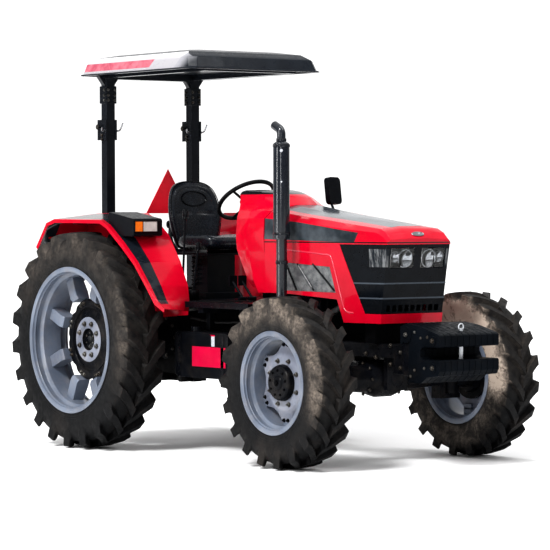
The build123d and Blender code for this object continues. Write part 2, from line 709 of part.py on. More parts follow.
def offset_line(points, distance):
    """The line drawn to its right-hand side by distance, with mitred corners."""
    directions = []
    for (y0, z0), (y1, z1) in zip(points, points[1:]):
        length = sqrt((y1 - y0) ** 2 + (z1 - z0) ** 2)
        directions.append(((y1 - y0) / length, (z1 - z0) / length))
    directions = [directions[0]] + directions + [directions[-1]]
    moved = []
    for (y, z), (ay, az), (by, bz) in zip(points, directions, directions[1:]):
        share = distance / (1 + ay * by + az * bz)
        moved.append((y + (az + bz) * share, z - (ay + by) * share))
    return moved


fender_edges = [[(fy(edges[side][0]), edges[side][1]) for edges in FENDER_SHAPE] for side in (0, 1)]
skin_sections = []
fender_sections = []
for x, edge in ((FENDER_OUT, fender_edges[0]), (FENDER_IN, fender_edges[1])):
    closed = edge + offset_line(edge, WALL)[::-1]
    skin_sections.append([(x, y, z) for y, z in closed])
    filled = edge + [(edge[-1][0], 860), (edge[0][0], 860)]
    fender_sections.append([(x, y, z) for y, z in filled])
skin = lofted(skin_sections)
under_skin = lofted(fender_sections)
wall_outline = offset_line(fender_edges[1], 2) + [(ry(280), 900), (ry(-280), 900), (fy(1400), 940)]
fender_wall = along_x(wall_outline, (FENDER_IN, FENDER_IN + WALL))
foot = block((FENDER_IN, FENDER_IN + WALL), (ry(-90), ry(90)), (REAR_TYRE_RADIUS + 60, 930))
LIP = 26                        # turned-down outer edge
lip_outline = offset_line(fender_edges[0], 2) + offset_line(fender_edges[0], LIP)[::-1]
lip = along_x(lip_outline, (FENDER_OUT - WALL - 1, FENDER_OUT - 1))
fender = without(fused([skin, lip, fender_wall, foot]), rear_axle)
node("fenders", fender, right(fender))
node("platform", without(platform, fender, right(fender)))

POD_X = (655, 895)
lamp_pod = along_x(
    [
        (fy(1580), 1478), (fy(1560), 1486), (fy(1560), 1590), (fy(1574), 1600),
        (fy(1870), 1646), (fy(1870), 1560), (fy(1700), 1478),
    ],
    POD_X,
)
lamp_pod = without(lamp_pod, under_skin)
node("lamp_pods", lamp_pod, right(lamp_pod))

# the seat stands on a pedestal over the lift housing
SEAT_TOP = 1430
seat_base = fused([
    block((-150, 150), (ry(-420), ry(-200)), (PLATFORM_Z, PLATFORM_Z + 40)),
    block((-120, 120), (ry(-400), ry(-220)), (PLATFORM_Z + 40, SEAT_TOP - 90)),
    block((-190, 190), (ry(-500), ry(-80)), (SEAT_TOP - 90, SEAT_TOP - 50)),
])
node("seat_base", seat_base)
cushion = along_x(
    [
        (ry(-560), SEAT_TOP - 50), (ry(-575), SEAT_TOP), (ry(-560), SEAT_TOP + 60),
        (ry(-135), SEAT_TOP + 45), (ry(-125), SEAT_TOP - 50),
    ],
    (-235, 235),
)
node("seat_cushion", cushion)
backrest_outline = [             # half-width, height
    (150, SEAT_TOP - 50), (205, SEAT_TOP + 60), (226, SEAT_TOP + 190), (206, SEAT_TOP + 330),
    (146, SEAT_TOP + 415), (70, SEAT_TOP + 438),
]
backrest_outline += [(-x, z) for x, z in reversed(backrest_outline)]
BACK_LEAN = 0.14
backrest = lofted([
    [(x, ry(start + BACK_LEAN * (z - SEAT_TOP)), z) for x, z in backrest_outline]
    for start in (-104, -20)
])
backrest = without(backrest, cushion)
node("seat_backrest", backrest)

# ---------------------------------------------------------------- dash and steering
COWL_FRONT = HOOD_BACK + CLEAR + 3
# height, half-widths at the front, the middle and the back, and how far the front, the
# middle and the back stand behind the front axle
COWL_SECTIONS = [
    ("foot", ENGINE_TOP, 336, 330, 250, COWL_FRONT, 900, 1029),
    ("knee", 1182, 345, 348, 290, COWL_FRONT, 930, 1074),
    ("waist", 1385, 365, 368, 330, COWL_FRONT, 960, 1142),
    ("belt", 1470, 368, 372, 335, COWL_FRONT, 960, 1147),
    ("chest", 1600, 362, 368, 325, COWL_FRONT, 960, 1147),
    ("shoulder", 1652, 295, 335, 310, COWL_FRONT, 960, 1144),
    ("hump", 1690, 88, 262, 285, COWL_FRONT, 960, 1165),
    ("pod", 1740, 80, 205, 216, 860, 990, 1255),
    ("lid foot", 1765, 78, 186, 192, 930, 1040, 1290),
    ("rim", 1782, 74, 168, 172, 1000, 1080, 1296),
    ("top", 1794, 50, 130, 140, 1090, 1130, 1290),
]


def cowl_solid(inset):
    """The cowl's outer form, drawn in by inset and, if inset, open at the foot."""
    rings = []
    for name, z, front, middle, back, front_y, middle_y, back_y in COWL_SECTIONS:
        if name == "foot":
            z -= 4 * inset
        if name == "top":
            z -= inset
        half = [
            (front - inset, front_y + inset), (middle - inset, middle_y),
            (back - inset, back_y - inset),
        ]
        points = half + [(-x, y) for x, y in reversed(half)]
        rings.append([(x, fy(y), z) for x, y in points])
    return lofted(rings)


cowl = without(cowl_solid(0), cowl_solid(WALL))
COLUMN_FOOT = -580              # from the wheel's centre, down the column
WHEEL_CENTRE = (0, fy(1480), 1727)
WHEEL_TILT = 38                 # the steering wheel's lean back from level
WHEEL_RADIUS = 205
axis = (0, sin(radians(WHEEL_TILT)), cos(radians(WHEEL_TILT)))


def on_column(distance):
    """A point on the steering column's axis, this far up from the wheel's centre."""
    return tuple(c + distance * a for c, a in zip(WHEEL_CENTRE, axis))


column = without(
    fused([rod(on_column(COLUMN_FOOT), on_column(-60), 38)]),
    rod(on_column(-150), on_column(-50), 12 + RUN),
)
cowl = without(cowl, column, rod(on_column(COLUMN_FOOT), on_column(-60), 38))
node("dash_cowl", cowl)
node("steering_column", column)

WHEEL_GRIP = 15
rim_section = [
    (WHEEL_RADIUS + WHEEL_GRIP * cos(radians(a)), WHEEL_GRIP * sin(radians(a)))
    for a in range(0, 360, 45)
]
wheel_rim = revolve(Face(outline([(x, 0, z) for x, z in rim_section])), axis=Axis.Z)
wheel_rim = Plane(origin=WHEEL_CENTRE, x_dir=(1, 0, 0), z_dir=axis).location * wheel_rim
spokes = []
wheel_plane = Plane(origin=WHEEL_CENTRE, x_dir=(1, 0, 0), z_dir=axis)
for angle in (90, 210, 330):
    tip = wheel_plane.from_local_coords(
        Vector(WHEEL_RADIUS * cos(radians(angle)), WHEEL_RADIUS * sin(radians(angle)), 0)
    )
    spokes.append(rod(on_column(-38), tuple(tip), 9))
wheel = fused([
    wheel_rim, rod(on_column(-58), on_column(0), 42), rod(on_column(-150 + RUN), on_column(-40), 12)
] + spokes)
node("steering_wheel", wheel)

MIRROR = (500, fy(1138), 1788)
mirror_head = Box(130, 40, 190)
mirror_head = fillet(mirror_head.edges().filter_by(Axis.Y), 30)
mirror_head = Pos(*MIRROR) * Rot(-8, 0, 12) * mirror_head
mirror_arm = bent_bar(
    [(300, fy(1040), 1560), (400, fy(978), 1620), (470, fy(1120), 1700), (500, fy(1150), 1788)],
    9, 30,
)
node("mirror", without(fused([mirror_head, mirror_arm]), cowl))

LEVER_X = 400
levers = fused([
    block((LEVER_X - 50, LEVER_X + 40), (fy(1560), fy(1760)), (PLATFORM_Z, PLATFORM_Z + 70)),
    rod((LEVER_X, fy(1690), PLATFORM_Z + 60), (LEVER_X, fy(1650), 1620), 8),
    rod((LEVER_X, fy(1651), 1605), (LEVER_X, fy(1649), 1655), 20),
    rod((LEVER_X - 30, fy(1600), PLATFORM_Z + 60), (LEVER_X - 30, fy(1540), 1400), 8),
    rod((LEVER_X - 30, fy(1542), 1385), (LEVER_X - 30, fy(1538), 1430), 18),
])
node("control_levers", right(levers), levers)

pedals = []
for x in (-230, -150, 190):
    pedals.append(fused([
        rod((x, fy(1215), PLATFORM_Z + 20), (x, fy(1330), PLATFORM_Z + 130), 9),
        block((x - 32, x + 32), (fy(1320), fy(1332)), (PLATFORM_Z + 100, PLATFORM_Z + 170)),
        rod((x - 30, fy(1215), PLATFORM_Z + 14), (x + 30, fy(1215), PLATFORM_Z + 14), 14),
    ]))
pedals = [without(p, cowl) for p in pedals]
node("pedals", *pedals)

# ---------------------------------------------------------------- roll-over frame, canopy
POST_X = 374
POST_Y = 2652                   # behind the front axle
POST_SIZE = 70
POST_FOOT = 905
FOLD_Z = 2260
CANOPY_LOW = 2624
CANOPY_HALF = 570
CANOPY_FRONT = 1328
CANOPY_BACK = 2757
CANOPY_THICK = 145
half_post = POST_SIZE / 2
post_x = (POST_X - half_post, POST_X + half_post)
post_y = (fy(POST_Y - half_post), fy(POST_Y + half_post))
lower_post = block(post_x, post_y, (POST_FOOT, FOLD_Z - 60))
post_bracket = along_x(
    [
        (ry(-100), 800), (ry(-100), 960), (post_y[0], POST_FOOT + 95), (post_y[1], POST_FOOT + 95),
        (post_y[1], POST_FOOT), (ry(100), 800),
    ],
    post_x,
)
post_bracket = without(post_bracket, rear_axle)
CHEEK = 12
cheek_z = (FOLD_Z - 95, FOLD_Z + 52)
cheeks = [
    block((x, x + CHEEK), (post_y[0] - 8, post_y[1] + 34), cheek_z)
    for x in (post_x[0] - CHEEK - RUN, post_x[1] + RUN)
]
cheek_feet = [
    block((post_x[0] - RUN, post_x[0]), post_y, (cheek_z[0], FOLD_Z - 60)),
    block((post_x[1], post_x[1] + RUN), post_y, (cheek_z[0], FOLD_Z - 60)),
]
FOLD_PIN_Y = post_y[1]
PIN = 11
fold_pin = rod((post_x[0] - 34, FOLD_PIN_Y, FOLD_Z), (post_x[1] + 34, FOLD_PIN_Y, FOLD_Z), PIN)
lower = fused([lower_post, post_bracket, fold_pin] + cheeks + cheek_feet)
node("rops_lower", lower, right(lower))

fold_ear = block(post_x, (post_y[1], post_y[1] + 24), (FOLD_Z - 24, FOLD_Z + 24))
upper_post = without(
    fused([block(post_x, post_y, (FOLD_Z - 60 + RUN, CANOPY_LOW - 20)), fold_ear]),
    rod((post_x[0] - 30, FOLD_PIN_Y, FOLD_Z), (post_x[1] + 30, FOLD_PIN_Y, FOLD_Z), PIN + RUN),
)
top_bar = block((-POST_X - 60, POST_X + 60), post_y, (CANOPY_LOW - 20, CANOPY_LOW + 30))
# a bolted clamp and two gussets carry the canopy's frame on each post
SADDLE = 9
saddle = block((post_x[0] - SADDLE, post_x[1] + SADDLE), (post_y[0] - SADDLE, post_y[1] + SADDLE),
               (CANOPY_LOW - 195, CANOPY_LOW - 70))
gusset = along_y(
    [
        (post_x[0] - 55, CANOPY_LOW), (post_x[0] - 20, CANOPY_LOW - 45),
        (post_x[0], CANOPY_LOW - 75), (post_x[1], CANOPY_LOW - 75),
        (post_x[1] + 20, CANOPY_LOW - 45), (post_x[1] + 55, CANOPY_LOW),
    ],
    (post_y[0] + 15, post_y[1] - 15),
)
upper_post = fused([upper_post, saddle, gusset])
rail = block((POST_X - 20, POST_X + 20), (fy(CANOPY_FRONT + 90), post_y[0]),
             (CANOPY_LOW - 10, CANOPY_LOW + 30))
front_bar = block((-POST_X - 20, POST_X + 20), (fy(CANOPY_FRONT + 90), fy(CANOPY_FRONT + 130)),
                  (CANOPY_LOW - 10, CANOPY_LOW + 30))
node("rops_upper", fused([upper_post, right(upper_post), top_bar, rail, right(rail), front_bar]))

# height above the lower edge, inset of the sides, the front and the back
CANOPY_SECTIONS = [
    ("lip", 0, 0, 0, 0),
    ("lip top", 9, 0, 0, 0),
    ("side foot", 12, 14, 16, 14),
    ("side top", 84, 34, 44, 34),
    ("chamfer", 122, 80, 104, 78),
    ("top", CANOPY_THICK, 200, 260, 190),
]
CORNER = 46                     # cut across each corner of the lip
rings = []
for name, up, side, front, back in CANOPY_SECTIONS:
    x = CANOPY_HALF - side
    y0 = fy(CANOPY_FRONT + front)
    y1 = fy(CANOPY_BACK - back)
    quarter = [(x, y0 + CORNER), (x, y1 - CORNER), (x - CORNER, y1)]
    points = [(x - CORNER, y0)] + quarter
    points += [(-a, b) for a, b in reversed(points)]
    rings.append([(a, b, CANOPY_LOW + up) for a, b in points])
canopy = lofted(rings)
hollow = block((-CANOPY_HALF + 40, CANOPY_HALF - 40),
               (fy(CANOPY_FRONT + 50), fy(CANOPY_BACK - 44)), (CANOPY_LOW - 5, CANOPY_LOW + 30))
canopy = without(canopy, hollow)
node("canopy", canopy)

# the warning triangle hangs from a bar on the left post
TRIANGLE_X = 135
TRIANGLE_Z = 1635
TRIANGLE_HALF = 195
triangle = along_y(
    [
        (TRIANGLE_X - TRIANGLE_HALF, TRIANGLE_Z), (TRIANGLE_X + TRIANGLE_HALF, TRIANGLE_Z),
        (TRIANGLE_X, TRIANGLE_Z + TRIANGLE_HALF * sqrt(3) - 12),
    ],
    (post_y[0] + 10, post_y[0] + 16),
)
triangle_bar = block((TRIANGLE_X - 40, POST_X - half_post), (post_y[0] + 16, post_y[0] + 36),
                     (TRIANGLE_Z + 55, TRIANGLE_Z + 95))
node("warning_triangle", fused([triangle, triangle_bar]))

# ---------------------------------------------------------------- exhaust, tanks, step
STACK_X = -450
STACK_Y = fy(480)
STACK_FOOT = 950
stack = bent_bar(
    [(-ENGINE_HALF, STACK_Y, STACK_FOOT), (STACK_X, STACK_Y, STACK_FOOT),
     (STACK_X, STACK_Y, 1470)], 36, 70,
)
muffler = rod((STACK_X, STACK_Y, 1465), (STACK_X, STACK_Y, 2090), 55)
tip = bent_bar([(STACK_X, STACK_Y, 2085), (STACK_X, STACK_Y, 2180), (STACK_X, STACK_Y + 75, 2215)],
               29, 45)
mouth_end = Vector(STACK_X, STACK_Y + 75, 2215)
mouth_dir = Vector(0, 75, 35).normalized()
bore_start = mouth_end - mouth_dir * 60
tip_bore = rod(tuple(bore_start), tuple(mouth_end + mouth_dir * 20), 25)
stack_cap = cone((STACK_X, STACK_Y, 2090), (STACK_X, STACK_Y, 2104), 55, 36)
node("exhaust_stack", without(fused([stack, muffler, stack_cap, tip]), tip_bore))

TANK_X = PLATFORM_HALF - 10      # outer face of the tank and of the battery box
tank = block((-TANK_X, -330), (fy(880), fy(1500)), (520, 830))
tank = fillet(tank.edges().filter_by(Axis.X), 45)
hangers = [
    block((-425, -385), (fy(y), fy(y + 40)), (830, PLATFORM_Z - 8)) for y in (950, 1330)
]
node("side_tank", fused([tank] + hangers))
node("tank_band", block((-TANK_X - 4, -TANK_X), (fy(905), fy(1290)), (597, 733)))

battery_box = block((330, TANK_X), (fy(880), fy(1300)), (560, 830))
node("battery_box", fused([battery_box] + [
    block((385, 425), (fy(y), fy(y + 40)), (830, PLATFORM_Z - 8)) for y in (920, 1120)
]))
step_sides = [
    block((PLATFORM_HALF, PLATFORM_HALF + 44), (fy(y), fy(y + 8)), (500, PLATFORM_Z - 8))
    for y in (960, 1232)
]
treads = [
    block((PLATFORM_HALF, PLATFORM_HALF + 110), (fy(960), fy(1240)), (z, z + 20)) for z in (500, 760)
]
node("step", fused(step_sides + treads))

# ---------------------------------------------------------------- three-point hitch
LINK_X = 410
LINK_Z = 600
LINK_PIN_Y = ry(110)
LINK_END_Y = ry(REAR_OVERHANG - 38)
LINK_END_Z = 560
BALL_RADIUS = 14.35
link_bar = lofted([
    [(230, LINK_PIN_Y, LINK_Z - 35), (250, LINK_PIN_Y, LINK_Z - 35),
     (250, LINK_PIN_Y, LINK_Z + 35), (230, LINK_PIN_Y, LINK_Z + 35)],
    [(LINK_X - 10, LINK_END_Y, LINK_END_Z - 30), (LINK_X + 10, LINK_END_Y, LINK_END_Z - 30),
     (LINK_X + 10, LINK_END_Y, LINK_END_Z + 30), (LINK_X - 10, LINK_END_Y, LINK_END_Z + 30)],
])
LINK_PIN = 15
mid_x = (240 + LINK_X) / 2
mid_y = (LINK_PIN_Y + LINK_END_Y) / 2
mid_z = (LINK_Z + LINK_END_Z) / 2
link = without(
    fused([
        link_bar,
        rod((mid_x - 44, mid_y, mid_z), (mid_x, mid_y, mid_z), 9),
        rod((226, LINK_PIN_Y, LINK_Z), (254, LINK_PIN_Y, LINK_Z), 38),
        rod((LINK_X - 22, LINK_END_Y, LINK_END_Z), (LINK_X + 22, LINK_END_Y, LINK_END_Z), 38),
    ]),
    rod((200, LINK_PIN_Y, LINK_Z), (300, LINK_PIN_Y, LINK_Z), LINK_PIN + RUN),
    rod((300, LINK_END_Y, LINK_END_Z), (500, LINK_END_Y, LINK_END_Z), BALL_RADIUS),
)
node("lower_links", link, right(link))
rear_axle = fused([
    rear_axle,
    rod((190, LINK_PIN_Y, LINK_Z), (270, LINK_PIN_Y, LINK_Z), LINK_PIN),
    rod((-270, LINK_PIN_Y, LINK_Z), (-190, LINK_PIN_Y, LINK_Z), LINK_PIN),
])

ARM_LENGTH = 280
ARM_END_Y = LIFT_SHAFT_Y + ARM_LENGTH * cos(radians(10))
ARM_END_Z = LIFT_SHAFT_Z - ARM_LENGTH * sin(radians(10))
lift_arm = without(
    fused([
        rod((205 + RUN, LIFT_SHAFT_Y, LIFT_SHAFT_Z), (245, LIFT_SHAFT_Y, LIFT_SHAFT_Z), 55),
        along_x(
            [
                (LIFT_SHAFT_Y - 10, LIFT_SHAFT_Z - 50), (ARM_END_Y, ARM_END_Z - 28),
                (ARM_END_Y, ARM_END_Z + 28), (LIFT_SHAFT_Y + 10, LIFT_SHAFT_Z + 50),
            ],
            (212, 240),
        ),
        rod((206, ARM_END_Y, ARM_END_Z), (280, ARM_END_Y, ARM_END_Z), 14),
    ]),
)
lift_shaft = rod((-206, LIFT_SHAFT_Y, LIFT_SHAFT_Z), (206, LIFT_SHAFT_Y, LIFT_SHAFT_Z), 32)
node("lift_arms", fused([lift_arm, right(lift_arm), lift_shaft]))
rear_axle = without(
    rear_axle,
    rod((-300, LIFT_SHAFT_Y, LIFT_SHAFT_Z), (300, LIFT_SHAFT_Y, LIFT_SHAFT_Z), 32 + RUN),
)

ROD_FOOT_Y = LINK_PIN_Y + 0.5 * (LINK_END_Y - LINK_PIN_Y)
ROD_FOOT_Z = LINK_Z + 0.5 * (LINK_END_Z - LINK_Z)
ROD_FOOT_X = 240 + 0.5 * (LINK_X - 240) - 34
EYE_PIN = 9
EYE_HOLE = 16
lift_rod = fused([
    rod((262, ARM_END_Y, ARM_END_Z), (ROD_FOOT_X, ROD_FOOT_Y, ROD_FOOT_Z + 24), 15),
    rod((250, ARM_END_Y, ARM_END_Z), (274, ARM_END_Y, ARM_END_Z), 28),
    rod((ROD_FOOT_X - 8, ROD_FOOT_Y, ROD_FOOT_Z), (ROD_FOOT_X + 8, ROD_FOOT_Y, ROD_FOOT_Z), 28),
])
lift_rod = without(
    lift_rod,
    rod((ROD_FOOT_X - 30, ROD_FOOT_Y, ROD_FOOT_Z), (ROD_FOOT_X + 30, ROD_FOOT_Y, ROD_FOOT_Z),
        EYE_HOLE),
)
lift_rod = without(lift_rod, rod((200, ARM_END_Y, ARM_END_Z), (300, ARM_END_Y, ARM_END_Z), 14 + RUN))
node("lift_rods", lift_rod, right(lift_rod))

TOP_PIN_Y = ry(300)
TOP_PIN_Z = 1000
TOP_PIN = 12.7
top_bracket = block((-45, 45), (ry(200), ry(340)), (940, 1060))
top_bracket = without(top_bracket, block((-28, 28), (ry(240), ry(360)), (900, 1100)))
top_bracket = fused([
    top_bracket, rod((-45, TOP_PIN_Y, TOP_PIN_Z), (45, TOP_PIN_Y, TOP_PIN_Z), TOP_PIN),
])
rear_axle = fused([rear_axle, top_bracket])
node("rear_axle_housing", rear_axle)

TOP_LINK_LENGTH = 560
TOP_LEAN = 8                    # degrees the stowed top link leans forward of upright
top_dir = (0, -sin(radians(TOP_LEAN)), cos(radians(TOP_LEAN)))


def on_top_link(distance):
    """A point on the stowed top link, this far from its pin."""
    return (0, TOP_PIN_Y + distance * top_dir[1], TOP_PIN_Z + distance * top_dir[2])


far = on_top_link(TOP_LINK_LENGTH)
top_link = without(
    fused([
        rod((-22, TOP_PIN_Y, TOP_PIN_Z), (22, TOP_PIN_Y, TOP_PIN_Z), 26),
        rod(on_top_link(20), on_top_link(TOP_LINK_LENGTH - 20), 15),
        rod(on_top_link(150), on_top_link(TOP_LINK_LENGTH - 150), 24),
        rod((-22, far[1], far[2]), (22, far[1], far[2]), 28),
    ]),
    rod((-50, TOP_PIN_Y, TOP_PIN_Z), (50, TOP_PIN_Y, TOP_PIN_Z), TOP_PIN + RUN),
    rod((-50, far[1], far[2]), (50, far[1], far[2]), 12.85),
)
node("top_link", top_link)

HITCH_HOLE = 13
HITCH_Y = ry(640)
drawbar = without(
    fused([
        block((-38, 38), (ry(-100), ry(690)), (430, 462)),
        block((-110, 110), (ry(-60), ry(-20)), (430, 500)),
        block((-110, 110), (ry(180), ry(220)), (430, 500)),
    ]),
    rod((0, HITCH_Y, 400), (0, HITCH_Y, 500), HITCH_HOLE),
)
node("drawbar", drawbar)

# ---------------------------------------------------------------- files
os.makedirs("parts", exist_ok=True)
for name, solids in NODES.items():
    shape = solids[0] if len(solids) == 1 else Compound(children=solids)
    export_step(shape, os.path.join("parts", name + ".step"))
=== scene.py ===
"""Looks of the farm tractor: materials on its CAD nodes, detailed pieces, floor, light and camera.

Units are metres, in the CAD model's own frame: +Z up, the nose along -Y, +X the tractor's left.
Colours are linear. In loops over (1, -1), s is the side: 1 is the left, -1 the right.
"""
import bpy, bmesh, json
from math import sin, cos, pi, radians, sqrt, exp
from mathutils import Vector, Matrix


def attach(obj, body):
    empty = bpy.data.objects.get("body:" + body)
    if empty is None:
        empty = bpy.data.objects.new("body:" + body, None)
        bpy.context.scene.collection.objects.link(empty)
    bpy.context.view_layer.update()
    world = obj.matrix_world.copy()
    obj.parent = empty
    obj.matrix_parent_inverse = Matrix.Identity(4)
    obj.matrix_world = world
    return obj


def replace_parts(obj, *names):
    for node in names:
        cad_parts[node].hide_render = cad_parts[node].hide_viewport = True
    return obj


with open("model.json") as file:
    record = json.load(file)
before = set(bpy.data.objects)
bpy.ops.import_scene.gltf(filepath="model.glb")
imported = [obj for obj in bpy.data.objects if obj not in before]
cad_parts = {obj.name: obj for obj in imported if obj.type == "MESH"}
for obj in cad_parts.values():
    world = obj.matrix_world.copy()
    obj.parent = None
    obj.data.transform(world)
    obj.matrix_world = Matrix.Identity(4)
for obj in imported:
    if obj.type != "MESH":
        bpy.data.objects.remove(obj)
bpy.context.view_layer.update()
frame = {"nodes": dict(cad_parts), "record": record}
N = frame["nodes"]
FA = -1.070          # front axle along Y
RA = 1.110           # rear axle along Y


# ---------------------------------------------------------------- shader helpers
class Tree:
    """A short way to write a material's nodes."""

    def __init__(self, name):
        self.mat = bpy.data.materials.new(name)
        self.mat.use_nodes = True
        self.nt = self.mat.node_tree
        self.nt.nodes.clear()
        self.bsdf = self.add("BsdfPrincipled")
        self.add("OutputMaterial", {0: self.bsdf.outputs[0]})
        self.co = self.add("TexCoord").outputs["Object"]

    def add(self, kind, inputs=(), **props):
        n = self.nt.nodes.new("ShaderNode" + kind)
        for k, v in props.items():
            setattr(n, k, v)
        for k, v in dict(inputs).items():
            self.link(v, n.inputs[k])
        return n

    def link(self, a, b):
        """Links output a to socket b, or sets b to the constant a."""
        if isinstance(a, (int, float)):
            b.default_value = a
        elif isinstance(a, (tuple, list)):
            b.default_value = tuple(a) + (1,) if len(a) == 3 and len(b.default_value) == 4 else tuple(a)
        else:
            self.nt.links.new(a, b)

    def noise(self, scale, detail=4, rough=0.55, stretch=None, distort=0.0):
        co = self.add("Mapping", {0: self.co, "Scale": stretch}).outputs[0] if stretch else self.co
        inputs = {"Vector": co, "Scale": scale, "Detail": detail, "Roughness": rough, "Distortion": distort}
        return self.add("TexNoise", inputs).outputs[0]

    def voronoi(self, scale, feature="F1"):
        return self.add("TexVoronoi", {"Vector": self.co, "Scale": scale}, feature=feature).outputs[0]

    def math(self, op, *values, clamp=False):
        return self.add("Math", enumerate(values), operation=op, use_clamp=clamp).outputs[0]

    def fold(self, op, first, *rest, clamp=False):
        for v in rest:
            first = self.math(op, first, v, clamp=clamp)
        return first

    def times(self, *values, clamp=False):
        return self.fold("MULTIPLY", *values, clamp=clamp)

    def plus(self, *values, clamp=False):
        return self.fold("ADD", *values, clamp=clamp)

    def line(self, v, slope, start):
        return self.math("MULTIPLY_ADD", v, slope, start)

    def waves(self, v, pitch):
        return self.math("SINE", self.times(v, pitch))

    def ramp(self, v, lo, hi, out_lo=0.0, out_hi=1.0):
        """Eases from out_lo, where v is at lo, to out_hi, where it is at hi."""
        inputs = enumerate((v, lo, hi, out_lo, out_hi))
        return self.add("MapRange", inputs, interpolation_type="SMOOTHSTEP").outputs[0]

    def speck(self, scale, detail, lo, hi, out_lo=0.0, out_hi=1.0, rough=0.55, stretch=None):
        """Noise, spread between two levels."""
        return self.ramp(self.noise(scale, detail, rough, stretch), lo, hi, out_lo, out_hi)

    def past(self, v, edge, soft=0.0015):
        """1 where v is past the edge, 0 before it."""
        return self.ramp(self.math("SUBTRACT", v, edge), -soft, soft)

    def band(self, v, lo, hi, soft=0.0015):
        """1 where v lies between lo and hi."""
        return self.times(self.past(v, lo, soft), self.past(hi, v, soft))

    def mix(self, f, a, b):
        return self.add("Mix", {0: f, 6: a, 7: b}, data_type="RGBA").outputs[2]

    def part(self, vector, which):
        return self.add("SeparateXYZ", {0: vector}).outputs["XYZ".index(which)]

    def axis(self, which):
        return self.part(self.co, which)

    def faces(self, which):
        """How far the surface faces along one axis of the tractor, -1 to 1."""
        return self.part(self.add("NewGeometry").outputs["Normal"], which)

    def bumps(self, *layers):
        """Layers of (height, strength, depth in metres), one over the other."""
        inputs = {}
        for inputs["Height"], inputs["Strength"], inputs["Distance"] in layers:
            inputs["Normal"] = self.add("Bump", inputs).outputs[0]
        return inputs["Normal"]

    def set(self, color, roughness, normal=(0, 0, 0), **sockets):
        """Sets the shader's sockets, named with _ for each space, and gives the material."""
        for k, v in dict(sockets, Base_Color=color, Roughness=roughness, Normal=normal).items():
            self.link(v, self.bsdf.inputs[k.replace("_", " ")])
        return self.mat


def shade(color, share):
    return tuple(v * share for v in color)


DUST = (0.30, 0.245, 0.19)


def dusty(t, color, amount, low=0.3, high=1.3):
    """The colour under a film of dust that is thicker low on the tractor, and the film."""
    if amount <= 0:
        return color, 0.0
    height = t.ramp(t.axis("Z"), low, high, 1.0, 0.25)
    film = t.times(height, t.speck(9, 6, 0.42, 0.72, rough=0.7), amount, clamp=True)
    return t.mix(film, color, DUST), film


def painted(name, color, dark=None, rough=0.24, dust=0.12, coat=0.6, spec=0.5, metal=0.0):
    """Sprayed or powder-coated metal: faint mottling, orange peel, dust low down."""
    t = Tree(name)
    c, film = dusty(t, t.mix(t.speck(4, 5, 0.35, 0.7), dark or shade(color, 0.72), color), dust)
    scuff = t.speck(60, 8, 0.66, 0.8, rough=0.75, stretch=(1, 0.35, 1))
    return t.set(
        c, t.plus(t.times(scuff, 0.22), rough, t.times(film, 0.45), clamp=True),
        t.bumps((t.noise(520, 2), 0.05, 0.0006), (t.noise(22, 3), 0.08, 0.002)),
        Coat_Weight=coat, Coat_Roughness=0.08, Specular_IOR_Level=spec, Metallic=metal)


def cast(name, color, rough=0.5, dust=0.25, spec=0.4):
    """Painted casting: sand-rough skin under thick paint, dust in its hollows."""
    t = Tree(name)
    c, film = dusty(t, t.mix(t.speck(7, 6, 0.3, 0.75), shade(color, 0.6), color), dust, 0.2, 1.0)
    return t.set(
        c, t.plus(t.speck(30, 6, 0.3, 0.7, rough - 0.12, rough + 0.1), t.times(film, 0.3), clamp=True),
        t.bumps((t.noise(260, 5, 0.7), 0.22, 0.001), (t.noise(28, 4), 0.25, 0.004)),
        Specular_IOR_Level=spec)


def plastic(name, color, rough=0.42, dust=0.12, coat=0.0, spec=0.5):
    """Moulded plastic with a fine pebble grain."""
    t = Tree(name)
    c, film = dusty(t, t.mix(t.speck(11, 5, 0.3, 0.75), shade(color, 0.7), color), dust)
    return t.set(
        c, t.plus(t.speck(45, 5, 0.3, 0.7, rough - 0.06, rough + 0.08), t.times(film, 0.3), clamp=True),
        t.bumps((t.voronoi(700), 0.12, 0.0005), (t.noise(26, 3), 0.08, 0.002)),
        Coat_Weight=coat, Coat_Roughness=0.1, Specular_IOR_Level=spec)


def lens(name, color, rough=0.08, ribs=520.0):
    """A moulded lamp lens: tinted clear plastic over its upright ribs."""
    t = Tree(name)
    return t.set(
        t.mix(t.speck(30, 4, 0.3, 0.7), shade(color, 0.8), color),
        t.speck(50, 3, 0.3, 0.7, rough, rough + 0.06),
        t.bumps((t.noise(90, 3), 0.05, 0.0006), (t.waves(t.axis("X"), ribs), 0.6, 0.0015)),
        Coat_Weight=0.5, Coat_Roughness=0.05)


def paint_finish(t, color, rough=0.26, dust=0.05, coat=0.30):
    """The red panels' gloss over a colour: orange peel, faint scuffs, dust low down."""
    c, film = dusty(t, color, dust)
    scuff = t.speck(60, 8, 0.68, 0.82, rough=0.75, stretch=(1, 0.35, 1))
    return t.set(
        c, t.plus(t.times(scuff, 0.18), rough, t.times(film, 0.4), clamp=True),
        t.bumps((t.noise(420, 2), 0.05, 0.0006), (t.noise(7, 2), 0.10, 0.006)),
        Coat_Weight=coat, Coat_Roughness=0.07, Specular_IOR_Level=0.08)


RED, RED_DEEP = (0.545, 0.0006, 0.021), (0.430, 0.0004, 0.016)


def red_mix(t):
    """The red enamel, a little deeper where the coat is thin."""
    return t.mix(t.speck(3.5, 5, 0.3, 0.75), RED_DEEP, RED)


